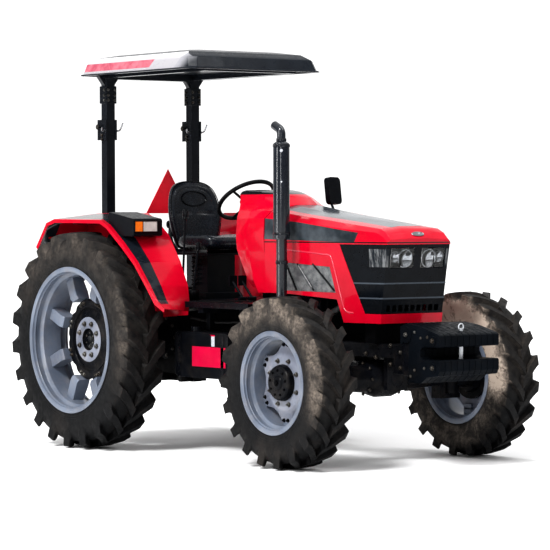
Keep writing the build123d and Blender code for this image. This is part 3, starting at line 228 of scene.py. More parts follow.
def tyre_rubber(name, radius, carcass, rim_radius, half, mud_and_sunlight, seed, sun, low, pale, fade):
    """Rubber with a tan film on the flanks of its lugs and on the upper wall: dried mud, brightened as painted
    sunlight, with painted shade low down.

    mud_and_sunlight is the film's amount and sun the way to the sun of the painted sunlight; it starts low
    wheel radii above the axle, is pale times the usual tone, and fade tells at which shares of the wall it
    thins out, if any.
    """
    t = Tree(name)
    x, y, z = (t.axis(a) for a in "XYZ")
    r = t.math("SQRT", t.plus(t.times(y, y), t.times(z, z)))

    def wall(start, end, *levels):
        at = [rim_radius + share * (carcass - rim_radius) for share in (start, end)]
        return t.ramp(r, *at, *levels)

    film = t.times(wall(0.04, 0.30), wall(*fade, 1.0, 0.16)) if fade else wall(0.22, 0.72)
    crown = t.ramp(r, radius - 0.010, radius - 0.003, 1.0, 0.10)
    coarse = t.ramp(t.noise(5.5 + seed, 7, 0.62, distort=0.6), 0.40, 0.60)
    fine = t.speck(42 + seed, 8, 0.34, 0.66, rough=0.7)
    film = t.times(film, crown, t.line(coarse, 0.75, 0.25), t.line(fine, 0.7, 0.3))
    # the film, part dust and part painted sunlight, is strongest where the wall faces the sun's way, outward
    # and up to the sky
    nx = t.faces("X")
    toward = t.ramp(t.plus(t.times(nx, sun[0]), t.times(t.faces("Y"), sun[1] * 0.8)), -0.1, 0.9, 0.10, 1.0)
    outward = t.ramp(t.math("ABSOLUTE", nx), 0.25, 0.60, 0.22, 1.0)
    # painted shade: the rubber is darkened towards the foot of the tyre and the film thins there, so it is
    # kept above the axle; the film also keeps to the shoulder on the sun's side, as painted sunlight
    above = t.ramp(t.plus(t.times(z, 0.85), t.times(y, -0.45)), low * radius, 0.50 * radius)
    shoulder = t.ramp(t.times(x, 1.0 if sun[0] > 0 else -1.0), 0.70 * half, 0.90 * half, 0.10, 1.0)
    film = t.times(film, toward, outward, t.ramp(above, 0.0, 1.0, 0.06, 1.0), shoulder, mud_and_sunlight, clamp=True)
    c = t.mix(t.speck(14, 6, 0.3, 0.7, rough=0.65), (0.0060, 0.0060, 0.0066), (0.0205, 0.0185, 0.0172))
    c = t.mix(above, (0.0045, 0.004725, 0.0054), c)
    c = t.mix(film, c, shade((0.255, 0.212, 0.176), pale))
    splash = t.times(t.speck(3.1 + seed, 5, 0.52, 0.7, rough=0.6), t.ramp(r, rim_radius, carcass, 0.25, 0.7))
    c = t.mix(t.times(splash, 0.30), c, (0.062, 0.050, 0.042))
    # moulded rings on the wall between bead and shoulder
    rings = t.times(t.waves(r, 420.0), t.band(r, rim_radius + 0.045, rim_radius + 0.075, 0.004))
    lumps = t.times(t.noise(34, 7, 0.7), t.plus(film, 0.35))
    return t.set(
        c, t.plus(t.times(film, 0.25), t.speck(25, 5, 0.3, 0.7, 0.52, 0.72), clamp=True),
        t.bumps((rings, 0.5, 0.0012), (t.noise(180, 6, 0.75), 0.30, 0.0012), (lumps, 0.75, 0.006)),
        Specular_IOR_Level=0.14)


# ---------------------------------------------------------------- materials
t = Tree("red_paint")
M = {
    "red": paint_finish(t, red_mix(t)),
    "black": painted("black_paint", (0.0045, 0.0055, 0.008), rough=0.26, dust=0.05, coat=0.0, spec=0.09),
    "frame": painted("frame_black", (0.0085, 0.0105, 0.0145), rough=0.20, dust=0.02, coat=0.0, spec=0.24),
    "stack": painted("stack_enamel", (0.012, 0.015, 0.021), rough=0.15, dust=0.0, coat=0.3, spec=0.34),
    "triangle": painted("triangle_red", (0.88, 0.006, 0.030), rough=0.30, dust=0.0, coat=0.2, spec=0.3),
    # the crease bead is painted a lighter, pinker red than the hood, as a painted highlight along the crease
    "crease": painted("crease_gloss", (0.66, 0.030, 0.070), rough=0.18, dust=0.0, coat=1.0),
    "cast": cast("black_casting", (0.0045, 0.0052, 0.0075), rough=0.36, dust=0.06, spec=0.08),
    # painted shade: a darker copy of the black casting, for the parts underneath and inside
    "deep": cast("under_black", (0.0026, 0.0028, 0.0038), rough=0.5, dust=0.02, spec=0.03),
    "weight": cast("weight_iron", (0.0045, 0.0062, 0.0090), rough=0.42, dust=0.02, spec=0.03),
    # rim_grey and disc_grey are one grey paint in a shaded and a lit copy: painted shade on the rims, painted
    # light on the discs and bolt rings
    "rim": painted("rim_grey", (0.142, 0.168, 0.218), (0.090, 0.108, 0.145), 0.32, 0.20, 0.1, 0.4),
    "disc": painted("disc_grey", (0.205, 0.222, 0.270), (0.13, 0.142, 0.18), 0.34, 0.20, 0.1, 0.4),
    "plastic": plastic("black_plastic", (0.0042, 0.0050, 0.0072), rough=0.34, dust=0.03, spec=0.09),
    "gloss": plastic("gloss_black", (0.0028, 0.0036, 0.0052), rough=0.15, dust=0.02, coat=0.05, spec=0.12),
    "steel": painted("bare_steel", (0.42, 0.43, 0.45), rough=0.3, dust=0.2, coat=0.0, metal=1.0),
    "bolt": painted("bolt_zinc", (0.12, 0.12, 0.115), (0.055, 0.047, 0.040), 0.36, 0.2, 0.0, metal=0.85),
    "chrome": painted("reflector", (0.50, 0.51, 0.53), (0.30, 0.31, 0.33), 0.07, 0.0, 0.0, metal=1.0),
    "rubber": plastic("grip_rubber", (0.0040, 0.0044, 0.0055), rough=0.42, dust=0.02, spec=0.10),
    "hose": plastic("hose_rubber", (0.008, 0.008, 0.009), rough=0.5, dust=0.12),
    "grey": plastic("bare_label", (0.42, 0.44, 0.47), rough=0.35, dust=0.05),
    "silver": painted("badge_silver", (0.62, 0.64, 0.68), (0.45, 0.47, 0.5), 0.2, 0.0, 0.4),
    "amber": lens("amber_lens", (0.85, 0.19, 0.010)),
    "clear_lens": lens("clear_lens", (0.52, 0.49, 0.47)),
    "tail": lens("tail_lens", (0.55, 0.010, 0.012)),
}
t = Tree("lamp_glass")
M["glass"] = t.set(
    t.mix(t.speck(20, 3, 0.3, 0.7), (0.93, 0.95, 0.96), (1.0, 1.0, 1.0)),
    t.speck(40, 4, 0.3, 0.7, 0.02, 0.06), t.bumps((t.noise(60, 2), 0.04, 0.0005)),
    Transmission_Weight=1.0, IOR=1.25)
t = Tree("mirror_glass")
M["mirror"] = t.set(
    t.mix(t.speck(6, 3, 0.3, 0.7), (0.5, 0.52, 0.55), (0.62, 0.64, 0.67)),
    t.speck(20, 4, 0.3, 0.7, 0.05, 0.12), t.bumps((t.noise(50, 2), 0.03, 0.0005)), Metallic=1.0)

# vinyl of the seat: leather grain and soft dents
t = Tree("seat_vinyl")
c = t.mix(t.speck(12, 5, 0.3, 0.7), (0.0042, 0.0060, 0.0095), (0.0075, 0.0105, 0.0160))
M["vinyl"] = t.set(
    dusty(t, c, 0.06)[0], t.speck(40, 5, 0.3, 0.7, 0.20, 0.32),
    t.bumps((t.voronoi(240, "DISTANCE_TO_EDGE"), 0.05, 0.0004), (t.noise(16, 3), 0.15, 0.004)),
    Specular_IOR_Level=0.36)

# the hood: red, with dark side bands, a dark panel along the top and a dark line round its brow; the panel's
# grey is painted reflection of the sky
t = Tree("hood_paint")
x, z, up = t.math("ABSOLUTE", t.axis("X")), t.axis("Z"), t.faces("Z")
y = t.math("SUBTRACT", t.axis("Y"), FA)          # behind the front axle
side_face = t.ramp(up, 0.35, 0.5, 1.0, 0.0)
side_band = t.times(
    t.past(z, t.line(y, 0.020, 1.4445)),         # the band's lower edge rises to the back
    t.past(t.line(y, 0.118, 1.522), z),
    t.ramp(t.line(z, 0.55, y), 0.6945, 0.6985),  # its front end is raked
    side_face)
panel = t.times(t.past(t.line(y, 0.070, 0.178), x), t.ramp(up, 0.5, 0.6), t.ramp(y, -0.300, -0.296))
brow = t.times(t.band(z, 1.4385, 1.4465, 0.0008), side_face)
slate = t.mix(t.speck(5, 4, 0.35, 0.65), (0.016, 0.021, 0.026), (0.058, 0.068, 0.078))
c = t.mix(side_band, red_mix(t), slate)
# painted reflection: the top panel is painted a lighter grey in cloudy streaks, for the sky that it mirrors
sky_reflection_streaks = t.speck(2.2, 3, 0.42, 0.58, stretch=(2.5, 1, 1))
c = t.mix(panel, c, t.mix(sky_reflection_streaks, (0.085, 0.098, 0.112), (0.030, 0.040, 0.052)))
M["hood"] = paint_finish(t, t.mix(brow, c, (0.004, 0.005, 0.007)), rough=0.2)

# the cowl: red walls under a black lid
t = Tree("cowl_paint")
lid = t.past(t.axis("Z"), 1.762, 0.001)
M["cowl"] = paint_finish(t, t.mix(lid, red_mix(t), (0.006, 0.007, 0.009)), rough=0.22)

# the fenders: red with a red rim, a black stripe beside it and a dark shelf on top
t = Tree("fender_paint")
x, y, z = t.math("ABSOLUTE", t.axis("X")), t.axis("Y"), t.axis("Z")
stripe = t.times(t.band(x, 0.806, 0.902, 0.001), t.ramp(z, 1.02, 1.03))
shelf = t.times(
    t.ramp(z, 1.560, 1.566), t.ramp(x, 0.802, 0.806, 1.0, 0.0), t.ramp(x, 0.60, 0.606),
    t.ramp(y, 1.40, 1.406, 1.0, 0.0))
dark = t.mix(t.speck(6, 4, 0.3, 0.7), (0.0055, 0.0080, 0.0125), (0.012, 0.016, 0.023))
c = t.mix(t.math("MAXIMUM", stripe, shelf), red_mix(t), dark)
M["fender"] = paint_finish(t, c, rough=0.22, dust=0.07)

# the canopy: dark slate skin; its right flank is painted grey to pale grey as a reflection of the sky, round a
# bare, worn red decal panel
t = Tree("canopy_skin")
y, z = t.axis("Y"), t.axis("Z")
flank = t.times(t.ramp(t.faces("X"), -0.45, -0.30, 1.0, 0.0), t.ramp(z, 2.6345, 2.6365))
slant = t.line(z, 0.9, y)
c = t.mix(t.speck(5, 4, 0.3, 0.7), (0.0042, 0.0062, 0.0100), (0.0075, 0.0105, 0.0155))
# painted reflection: only the right flank is painted grey, paler towards the top, for the sky that it mirrors
c = t.mix(t.times(flank, t.ramp(slant, 2.70, 2.86, 0.0, 0.85)), c, (0.36, 0.36, 0.385))
pale = t.mix(t.ramp(z, 2.690, 2.745), (0.36, 0.35, 0.37), (0.62, 0.61, 0.62))
c = t.mix(t.times(flank, t.ramp(slant, 2.86, 2.875)), c, pale)
red_panel = t.times(
    flank, t.band(z, 2.652, 2.706, 0.002), t.ramp(slant, 3.180, 3.190),
    t.ramp(t.line(z, -0.5, y), 0.325, 0.332, 1.0, 0.0))
worn = t.mix(t.speck(14, 5, 0.35, 0.7, rough=0.7), (0.36, 0.070, 0.105), (0.50, 0.150, 0.185))
M["canopy"] = t.set(
    t.mix(red_panel, c, worn), t.speck(30, 5, 0.3, 0.7, 0.26, 0.38), t.bumps((t.noise(60, 3), 0.06, 0.001)),
    Coat_Weight=0.04, Specular_IOR_Level=0.12)

# the red band of the tank
t = Tree("band_red")
c = t.mix(t.speck(5, 4, 0.3, 0.7), (0.40, 0.002, 0.034), (0.48, 0.003, 0.042))
M["band"] = paint_finish(t, c, rough=0.35, coat=0.1)

# grille skin: gloss black, ribs painted grey as a painted highlight, dusty corner lenses beside the headlamps
t = Tree("grille_skin")
x, z = t.math("ABSOLUTE", t.axis("X")), t.axis("Z")
corner = t.times(
    t.band(z, 1.286, 1.402), t.ramp(x, 0.236, 0.238), t.ramp(t.axis("Y"), FA - 0.225, FA - 0.221, 1.0, 0.0))
# painted highlight: the two ribs are painted a lighter grey than the grille
rib = t.math("MAXIMUM", t.band(z, 1.1755, 1.1855, 0.001), t.band(z, 1.0795, 1.0895, 0.001))
c = t.mix(t.speck(10, 4, 0.3, 0.7), (0.0020, 0.0027, 0.0042), (0.0040, 0.0054, 0.0078))
dusty_lens = t.speck(26, 7, 0.45, 0.62, rough=0.75, stretch=(1, 1, 0.25))
c = t.mix(corner, c, t.mix(dusty_lens, (0.010, 0.013, 0.017), (0.16, 0.165, 0.17)))
M["grille"] = t.set(
    t.mix(rib, c, (0.060, 0.072, 0.088)), t.speck(24, 5, 0.3, 0.7, 0.13, 0.22),
    t.bumps((t.times(t.waves(z, 780.0), t.band(z, 0.990, 1.074)), 0.5, 0.002), (t.noise(40, 3), 0.05, 0.001)),
    Specular_IOR_Level=0.10)

# the side windows: grey mesh behind dark raked bars, its holes painted near-black as painted shade
t = Tree("louvre_skin")
z = t.axis("Z")
holes = t.times(*(t.ramp(t.waves(v, 900.0), 0.1, 0.5) for v in (t.line(z, -1.02, t.axis("Y")), z)))
c = t.mix(t.speck(16, 6, 0.35, 0.65, rough=0.7), (0.050, 0.054, 0.060), (0.200, 0.205, 0.205))
M["mesh"] = t.set(
    # painted shade: the holes are painted near-black for the dark behind the mesh
    t.mix(t.times(holes, 0.85), c, (0.010, 0.011, 0.013)), t.speck(20, 4, 0.3, 0.7, 0.4, 0.55),
    t.bumps((holes, -0.4, 0.001)))

SLOT_LOOK = {
    "red_paint": "red", "grey_paint": "rim", "black_paint": "black", "black_cast": "cast",
    "tyre": "rubber", "black_plastic": "plastic", "gloss_black": "gloss", "lamp": "chrome",
    "grip": "rubber", "vinyl": "vinyl", "steel": "steel", "canopy": "canopy", "louvre": "mesh",
}
NODE_LOOK = {
    "hood_shell": "hood", "dash_cowl": "cowl", "fenders": "fender", "tank_band": "band",
    "rops_lower": "frame", "rops_upper": "frame", "front_weights": "weight", "grille": "grille",
    "gearbox_housing": "deep", "engine_block": "deep", "rear_axle_housing": "deep",
    "radiator": "deep", "front_driveshaft": "deep", "exhaust_stack": "stack",
    "warning_triangle": "triangle",
}
# width of the rounded edges, 3 mm where a node isn't named
BEVEL = {
    "hood_shell": 0.006, "grille": 0.0015, "dash_cowl": 0.006, "fenders": 0.0018, "canopy": 0.004,
    "front_weights": 0.0045, "lamp_pods": 0.006, "warning_triangle": 0.001, "hood_louvres": 0.0015,
    "tank_band": 0.0015, "platform": 0.002, "pedals": 0.001, "control_levers": 0, "steering_wheel": 0,
    "exhaust_stack": 0, "mirror": 0.002, "rops_lower": 0.004, "rops_upper": 0.004,
}


def dress(obj, mat):
    """One material on every slot of the object."""
    if not obj.data.materials:
        obj.data.materials.append(mat)
    for s in obj.material_slots:
        s.material = mat


def bevel(obj, width, segments=2, angle=30):
    b = obj.modifiers.new("bevel", "BEVEL")
    b.width, b.segments = width, segments
    b.limit_method, b.angle_limit = "ANGLE", radians(angle)
    return b


def even_normals(obj):
    n = obj.modifiers.new("normals", "WEIGHTED_NORMAL")
    n.keep_sharp = False
    return n


def soften(obj, width, flat):
    """Welds the facets, joins those within flat degrees, rounds the edges and evens the normals."""
    obj.modifiers.new("weld", "WELD").merge_threshold = 0.00002
    if width:
        d = obj.modifiers.new("flat", "DECIMATE")
        d.decimate_type, d.angle_limit = "DISSOLVE", radians(flat)
        bevel(obj, width, 2, 28).miter_outer = "MITER_ARC"
    for p in obj.data.polygons:
        p.use_smooth = True
    even_normals(obj).weight = 60


for sub in frame["record"]["subparts"]:
    name = sub["node"]
    dress(N[name], M[NODE_LOOK.get(name, SLOT_LOOK[sub["material_slot"]])])
    soften(N[name], BEVEL.get(name, 0.003), 4.0 if name == "dash_cowl" else 0.6)


# ---------------------------------------------------------------- mesh helpers
def made(name, verts, faces, mat, body=None, smooth=True):
    """A mesh piece from points and faces, riding on its body."""
    me = bpy.data.meshes.new(name)
    me.from_pydata([tuple(v) for v in verts], [], faces)
    me.validate()
    bm = bmesh.new()
    bm.from_mesh(me)
    bmesh.ops.recalc_face_normals(bm, faces=bm.faces)
    bm.to_mesh(me)
    bm.free()
    o = bpy.data.objects.new(name, me)
    bpy.context.collection.objects.link(o)
    me.materials.append(mat)
    for p in me.polygons:
        p.use_smooth = smooth
    if body:
        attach(o, body)
    return o


def finish_edges(obj, *how):
    bevel(obj, *how)
    even_normals(obj)


def turns(n, start=0.0):
    """n angles evenly round a circle."""
    return [start + 2 * pi * i / n for i in range(n)]


def ladder(a, b, n, closed=True):
    """Quads between two loops of n points that start at the numbers a and b."""
    return [(a + i, a + (i + 1) % n, b + (i + 1) % n, b + i) for i in range(n if closed else n - 1)]


def facing(at, along):
    """A placement whose local X axis points along."""
    x = Vector(along).normalized()
    ref = Vector((0, 0, 1)) if abs(x.z) < 0.9 else Vector((0, 1, 0))
    y = ref.cross(x).normalized()
    m = Matrix((x, y, x.cross(y))).transposed().to_4x4()
    m.translation = Vector(at)
    return m


def between(p0, p1, p2, p3, u):
    """The point at share u from p1 to p2 on the smooth line through four points."""
    return 0.5 * (2 * p1 + (p2 - p0) * u + (2 * p0 - 5 * p1 + 4 * p2 - p3) * u * u
                  + (3 * p1 - p0 - 3 * p2 + p3) * u ** 3)


def smooth_path(pts, steps):
    if len(pts) < 3:
        return pts
    ext = [pts[0] * 2 - pts[1]] + pts + [pts[-1] * 2 - pts[-2]]
    return [between(*ext[i:i + 4], k / steps) for i in range(len(pts) - 1) for k in range(steps)] + pts[-1:]


class Heap:
    """Gathers many small forms into one mesh; its Y counts from y0."""

    def __init__(self, y0=0.0):
        self.v, self.f, self.y0 = [], [], y0

    def add(self, verts, faces, place=None):
        k = len(self.v)
        self.v += [place @ Vector(v) if place else Vector(v) for v in verts]
        self.f += [[k + i for i in f] for f in faces]

    def box(self, a, b, place=None):
        """A box between two opposite corners."""
        v = [(x, y, z) for x in (a[0], b[0]) for y in (a[1], b[1]) for z in (a[2], b[2])]
        f = [(0, 1, 3, 2), (4, 6, 7, 5), (0, 4, 5, 1), (2, 3, 7, 6), (0, 2, 6, 4), (1, 5, 7, 3)]
        self.add(v, f, place)

    def spin(self, profile, place=None, n=24, closed=False):
        """Profile of (along, radius) turned about the local X axis."""
        m = len(profile)
        v = [(p, r * cos(a), r * sin(a)) for a in turns(n) for p, r in profile]
        f = [q for i in range(n) for q in ladder(i * m, (i + 1) % n * m, m, closed)]
        if not closed:
            f += [[i * m + k for i in range(n)] for k in (0, m - 1) if profile[k][1] > 1e-6]
        self.add(v, f, place)

    def rod(self, a, b, r, n=16, r2=None):
        a, b = Vector(a), Vector(b)
        self.spin([(0, r), ((b - a).length, r if r2 is None else r2)], facing(a, b - a), n)

    def hoop(self, at, to, inner, outer, length, n):
        """A square-edged ring round the line from a point."""
        self.spin([(0, inner), (0, outer), (length, outer), (length, inner)], facing(at, to), n, closed=True)

    def bolt(self, at, to, r=0.011, h=0.008, stud=0.0):
        """A hexagon head on its washer, pointing to."""
        p = facing(Vector(at), Vector(to))
        self.spin([(-0.001, r * 1.35), (0.002, r * 1.35)], p, 18)
        self.spin([(0.002, r), (0.002 + h * 0.85, r), (0.002 + h, r * 0.86)], p, 6)
        if stud:
            self.spin([(0.002, r * 0.5), (0.002 + h + stud, r * 0.5)], p, 10)

    def bolts(self, s, x, places, *how):
        """Bolts on a side face, at the (y, z) of each place."""
        for y, z in places:
            self.bolt((s * x, y, z), (s, 0, 0), *how)

    def wheel_bolts(self, x, r, angles, *how):
        """Bolts round the wheel's axis, on a face that looks along X."""
        for a in angles:
            self.bolt((x, r * sin(a), r * cos(a)), (1, 0, 0), *how)

    def tube(self, points, r, n=10, steps=6):
        """A round hose through the points, smoothly curved."""
        pts = smooth_path([Vector(p) for p in points], steps)
        k = len(self.v)
        up = Vector((0.13, 0.21, 0.97)).normalized()
        for i, p in enumerate(pts):
            d = (pts[min(i + 1, len(pts) - 1)] - pts[max(i - 1, 0)]).normalized()
            s = d.cross(up).normalized()
            up = s.cross(d).normalized()
            self.v += [p + s * (r * cos(a)) + up * (r * sin(a)) for a in turns(n)]
        rows = [k + i * n for i in range(len(pts))]
        self.f += [q for a, b in zip(rows, rows[1:]) for q in ladder(a, b, n)]
        self.f += [[a + j for j in range(n)] for a in (rows[0], rows[-1])]

    def out(self, name, look, slot, body="chassis", smooth=True, edge=0.0):
        o = made(name, [v + Vector((0, self.y0, 0)) for v in self.v], self.f, M[look], body, smooth)
        if edge:
            finish_edges(o, edge)
        elif smooth:
            o.modifiers.new("normals", "WEIGHTED_NORMAL")
            o.modifiers.new("split", "EDGE_SPLIT").split_angle = radians(38)
        return o


# ---------------------------------------------------------------- wheels
# the wheel's middle along X and Y, its radius and its side
WHEELS = {
    "rear_left": (0.875, RA, 0.755, 1), "rear_right": (-0.875, RA, 0.755, -1),
    "front_left": (0.770, FA, 0.553, 1), "front_right": (-0.770, FA, 0.553, -1),
}
# tyre half-width, rim radius, rim half-width, lugs a row, lug height, width of the rounded edges
TYRES = {"rear": (0.158, 0.483, 0.145, 22, 0.042, 0.005), "front": (0.142, 0.306, 0.125, 19, 0.034, 0.004)}
# the tan film of dust and painted sunlight: amount, noise seed, the way to the sun (x, y), where it starts,
# tone, fade; a tone above 1 paints the sunlit wall brighter
MUD_AND_SUNLIGHT = {
    "rear_left": (0.9, 0.9, (1, -1), -0.25, 1.0, None),
    "rear_right": (0.36, 0.2, (-0.35, -0.9), -0.25, 1.0, None),
    "front_left": (4.0, 1.7, (-1, -0.2), 0.0, 1.75, (0.62, 1.02)),
    "front_right": (0.85, 0.6, (-0.6, -0.8), -0.25, 1.0, None),
}
# half-width share, depth share below the tread floor, from the middle to the bead
WALL_LINE = [
    (0.0, 0.0), (0.25, 0.002), (0.5, 0.012), (0.70, 0.035), (0.80, 0.070), (0.88, 0.135),
    (0.935, 0.225), (0.968, 0.335), (0.982, 0.450), (0.978, 0.570), (0.962, 0.680), (0.942, 0.780),
    (0.928, 0.850),
]


def tread_floor(share):
    """Depth share of the carcass below the tread floor at this share of the half-width."""
    for (u0, v0), (u1, v1) in zip(WALL_LINE, WALL_LINE[1:]):
        if share <= u1:
            return v0 + (v1 - v0) * (share - u0) / (u1 - u0)


def make_tyre(key):
    axle, hand = key.split("_")
    half, rim_r, rim_half, lugs, height, edge = TYRES[axle]
    cx, cy, radius, sgn = WHEELS[key]
    carcass = radius - height
    depth = carcass - rim_r
    side = [(u * half, carcass - v * depth) for u, v in WALL_LINE[1:]]
    side += [(rim_half - 0.0006, rim_r + 0.0315), (rim_half - 0.0006, rim_r + 0.0005)]
    h = Heap()
    h.spin([(-x, r) for x, r in reversed(side)] + [(0, carcass)] + side, None, 110, closed=True)
    step = 2 * pi * radius / lugs
    top = 0.158 * step                  # half the lug's width at its top and at its foot
    foot = top + 0.40 * height
    trail = 0.86 * step / radius        # the angle that a lug trails from the middle to the shoulder

    def station(t):
        x = (-0.07 + 1.035 * t) * half
        ang = trail * (1 - (1 - t) ** 1.3)
        grow = 1.25 if t < 0.03 else 1.0 + 0.10 * t
        floor = carcass - tread_floor(abs(x) / half) * depth
        return (x, floor - 0.005, ang, foot * grow), (x, radius - 0.0012 - 0.008 * t ** 3, ang, top * grow)

    # a lug's sections, each of a foot and a top: x, radius, angle, half-width
    stations = [station(t) for t in (0.0, 0.14, 0.3, 0.46, 0.62, 0.78, 0.90)]
    for foot_x, down, foot_turn, foot_width, top_x, r, top_turn, top_width in (
        (0.900, 0.19, 1.00, 1.10, 0.972, radius - 0.012, 0.985, 1.06),
        (0.945, 0.30, 1.03, 1.05, 0.992, radius - 0.46 * height, 1.01, 1.10),
        (0.958, 0.40, 1.05, 0.80, 0.990, carcass - 0.20 * depth, 1.04, 1.05),
        (0.965, 0.50, 1.06, 0.35, 0.978, carcass - 0.47 * depth, 1.06, 0.40),
    ):
        stations.append((
            (foot_x * half, carcass - down * depth, trail * foot_turn, foot * foot_width),
            (top_x * half, r, trail * top_turn, top * top_width)))

    for row in (1, -1):
        for i, turn in enumerate(turns(lugs, 0 if row > 0 else pi / lugs)):
            wob = 1 + 0.05 * sin(i * 2.3 + row)
            v = []
            for (xb, rb, ab, b), (xt, rt, at, w) in stations:
                low, high = (xb, rb, ab, b), (xt, rt, at, w * wob)
                mid = (xb + 0.4 * (xt - xb), rb + 0.4 * (rt - rb), (ab + at) / 2, w + (b - w) * 0.30)
                for way, (x, r, a, width) in zip((-1, -1, -1, 1, 1, 1), (low, mid, high, high, mid, low)):
                    a += turn + way * width / r
                    v.append((row * x, r * sin(a), r * cos(a)))
            starts = range(0, len(v), 6)
            f = [q for a, b in zip(starts, starts[1:]) for q in ladder(a, b, 6, False)]
            h.add(v, f + [[a + j for j in range(6)] for a in (0, starts[-1])])
    mud_and_sunlight, *rest = MUD_AND_SUNLIGHT[key]
    mat = tyre_rubber("tyre_" + key + "_rubber", radius, carcass, rim_r, half, mud_and_sunlight, *rest)
    o = made("tyre_" + key, [(v.x * sgn, v.y, v.z) for v in h.v], h.f, mat)
    finish_edges(o, edge, 2, 34)
    o.location = (cx, cy, radius)
    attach(o, "wheel_" + key)
    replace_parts(o, axle + "_tyre_" + hand)


for key in WHEELS:
    make_tyre(key)


def fit(h, piece, key, look, slot, *nodes, smooth=True, edge=0.0, extra=None):
    """Makes the heap, modelled for the left about the origin, a piece of the wheel."""
    o = h.out(piece + "_" + key, look, slot, None, smooth, edge)
    if extra:
        finish_edges(o, *extra)
    cx, cy, radius, sgn = WHEELS[key]
    if sgn < 0:
        bm = bmesh.new()
        bm.from_mesh(o.data)
        bmesh.ops.scale(bm, vec=(-1, 1, 1), verts=bm.verts)
        bmesh.ops.reverse_faces(bm, faces=bm.faces)
        bm.to_mesh(o.data)
        bm.free()
    o.location = (cx, cy, radius)
    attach(o, "wheel_" + key)
    if nodes:
        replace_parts(o, *nodes)


def rim(half, r, well, n):
    """A rim with rolled flanges, a ridge beside them and a well."""
    wall, lip = 0.008, 0.028
    o = [
        (half + wall - 0.001, r + lip - 0.002), (half + wall * 0.5, r + lip), (half, r + lip - 0.003),
        (half, r + 0.004), (half - 0.004, r), (half * 0.62, r), (half * 0.45, r - well),
    ]
    i = [
        (half * 0.45 - wall / 2, r - well - wall), (half * 0.50, r - well - wall + 0.002),
        (half * 0.60, r - wall - 0.003), (half * 0.64, r - wall), (half * 0.84, r - wall - 0.001),
        (half * 0.87, r - wall - 0.006), (half * 0.90, r - wall - 0.006), (half * 0.93, r - wall - 0.001),
        (half + wall * 0.6, r - wall + 0.002), (half + wall, r - wall + 0.010), (half + wall, r + lip - 0.008),
    ]
    h = Heap()
    h.spin([(-x, q) for x, q in o] + o[::-1] + i[::-1] + [(-x, q) for x, q in i], None, n, closed=True)
    return h


def ring_disc(front, back, n, edge):
    """A disc with its rim at edge(angle); front and back are (x, radius) after the rim's x."""
    line = front + back[::-1]
    m = len(line)
    v = []
    for a in turns(n):
        e = edge(a)
        for x, r in line:
            q = e if r is None else min(r, e - 0.003) if r > 0.19 else r
            v.append((x, q * sin(a), q * cos(a)))
    h = Heap()
    h.add(v, [q for i in range(n) for q in ladder(i * m, (i + 1) % n * m, m)])
    return h


def scalloped(a):
    """Radius of the rear centre's edge, with a bite between each two brackets."""
    d = (a + pi / 8) % (pi / 4) - pi / 8
    s = 0.318 * sin(d)
    return 0.285 if abs(s) >= 0.048 else min(0.285, 0.318 * cos(d) - sqrt(0.048 ** 2 - s * s))


def lobed(a):
    """Radius of the front disc's edge, with six lobes."""
    d = abs((a + pi / 6) % (pi / 3) - pi / 6)
    if d < 0.17:
        return 0.259 - 0.004 * (d / 0.17) ** 2
    return 0.212 + 0.043 * (1 - (d - 0.17) / (pi / 6 - 0.17)) ** 2.2


BRACKET = [
    (-0.074, 0.240), (-0.058, 0.240), (-0.058, 0.291), (0.018, 0.291), (0.032, 0.319), (0.032, 0.450),
    (-0.058, 0.450), (-0.074, 0.345),
]
for hand in ("left", "right"):
    key = "rear_" + hand
    fit(rim(0.145, 0.483, 0.026, 128), "rim", key, "rim", "grey_paint", "rear_rim_" + hand)
    h = Heap()
    n = len(BRACKET)
    for a in turns(8, pi / 8):
        v = [(x, s * 0.042, r) for s in (-1, 1) for x, r in BRACKET]
        h.add(v, [list(range(n)), list(range(n, 2 * n))] + ladder(0, n, n), Matrix.Rotation(-a, 4, "X"))
    fit(h, "rim_brackets", key, "rim", "grey_paint", edge=0.004)
    h = ring_disc(
        [(-0.034, None), (-0.030, 0.278), (-0.030, 0.232), (-0.039, 0.224), (-0.041, 0.206), (-0.019, 0.168),
         (-0.014, 0.161), (-0.014, 0.077), (-0.060, 0.073)],
        [(-0.056, None), (-0.058, 0.280), (-0.064, 0.215), (-0.112, 0.172)],
        192, scalloped,
    )
    h.spin([(-0.112, 0.002), (-0.112, 0.140), (-0.130, 0.140), (-0.130, 0.002)], None, 48)
    # the raised ring of the casting
    h.spin([(-0.031, 0.236), (-0.026, 0.233), (-0.026, 0.226), (-0.031, 0.223)], None, 96, closed=True)
    fit(h, "centre", key, "cast", "black_cast", "rear_centre_" + hand, extra=(0.0015, 2, 40))
    h = Heap()
    h.spin([(-0.0145, 0.0772), (-0.0125, 0.0785), (-0.0125, 0.1545), (-0.0145, 0.1575)],
           None, 96, closed=True)
    fit(h, "bolt_ring", key, "disc", "grey_paint")
    h = Heap()
    h.spin([(-0.060, 0.0735), (-0.036, 0.0725), (-0.030, 0.069), (-0.028, 0.062), (-0.028, 0.030),
            (-0.024, 0.026), (-0.024, 0.0001)], None, 72)
    fit(h, "hub_cap", key, "gloss", "black_cast")
    h = Heap()
    h.wheel_bolts(-0.0125, 0.115, turns(8, pi / 8), 0.0145, 0.012, 0.006)
    h.wheel_bolts(-0.028, 0.046, turns(6), 0.005, 0.004)
    h.wheel_bolts(-0.031, 0.262, [a + d for a in turns(8, pi / 8) for d in (-0.075, 0.075)],
                  0.0115, 0.010, 0.007)
    fit(h, "wheel_nuts", key, "bolt", "black_cast", smooth=False)

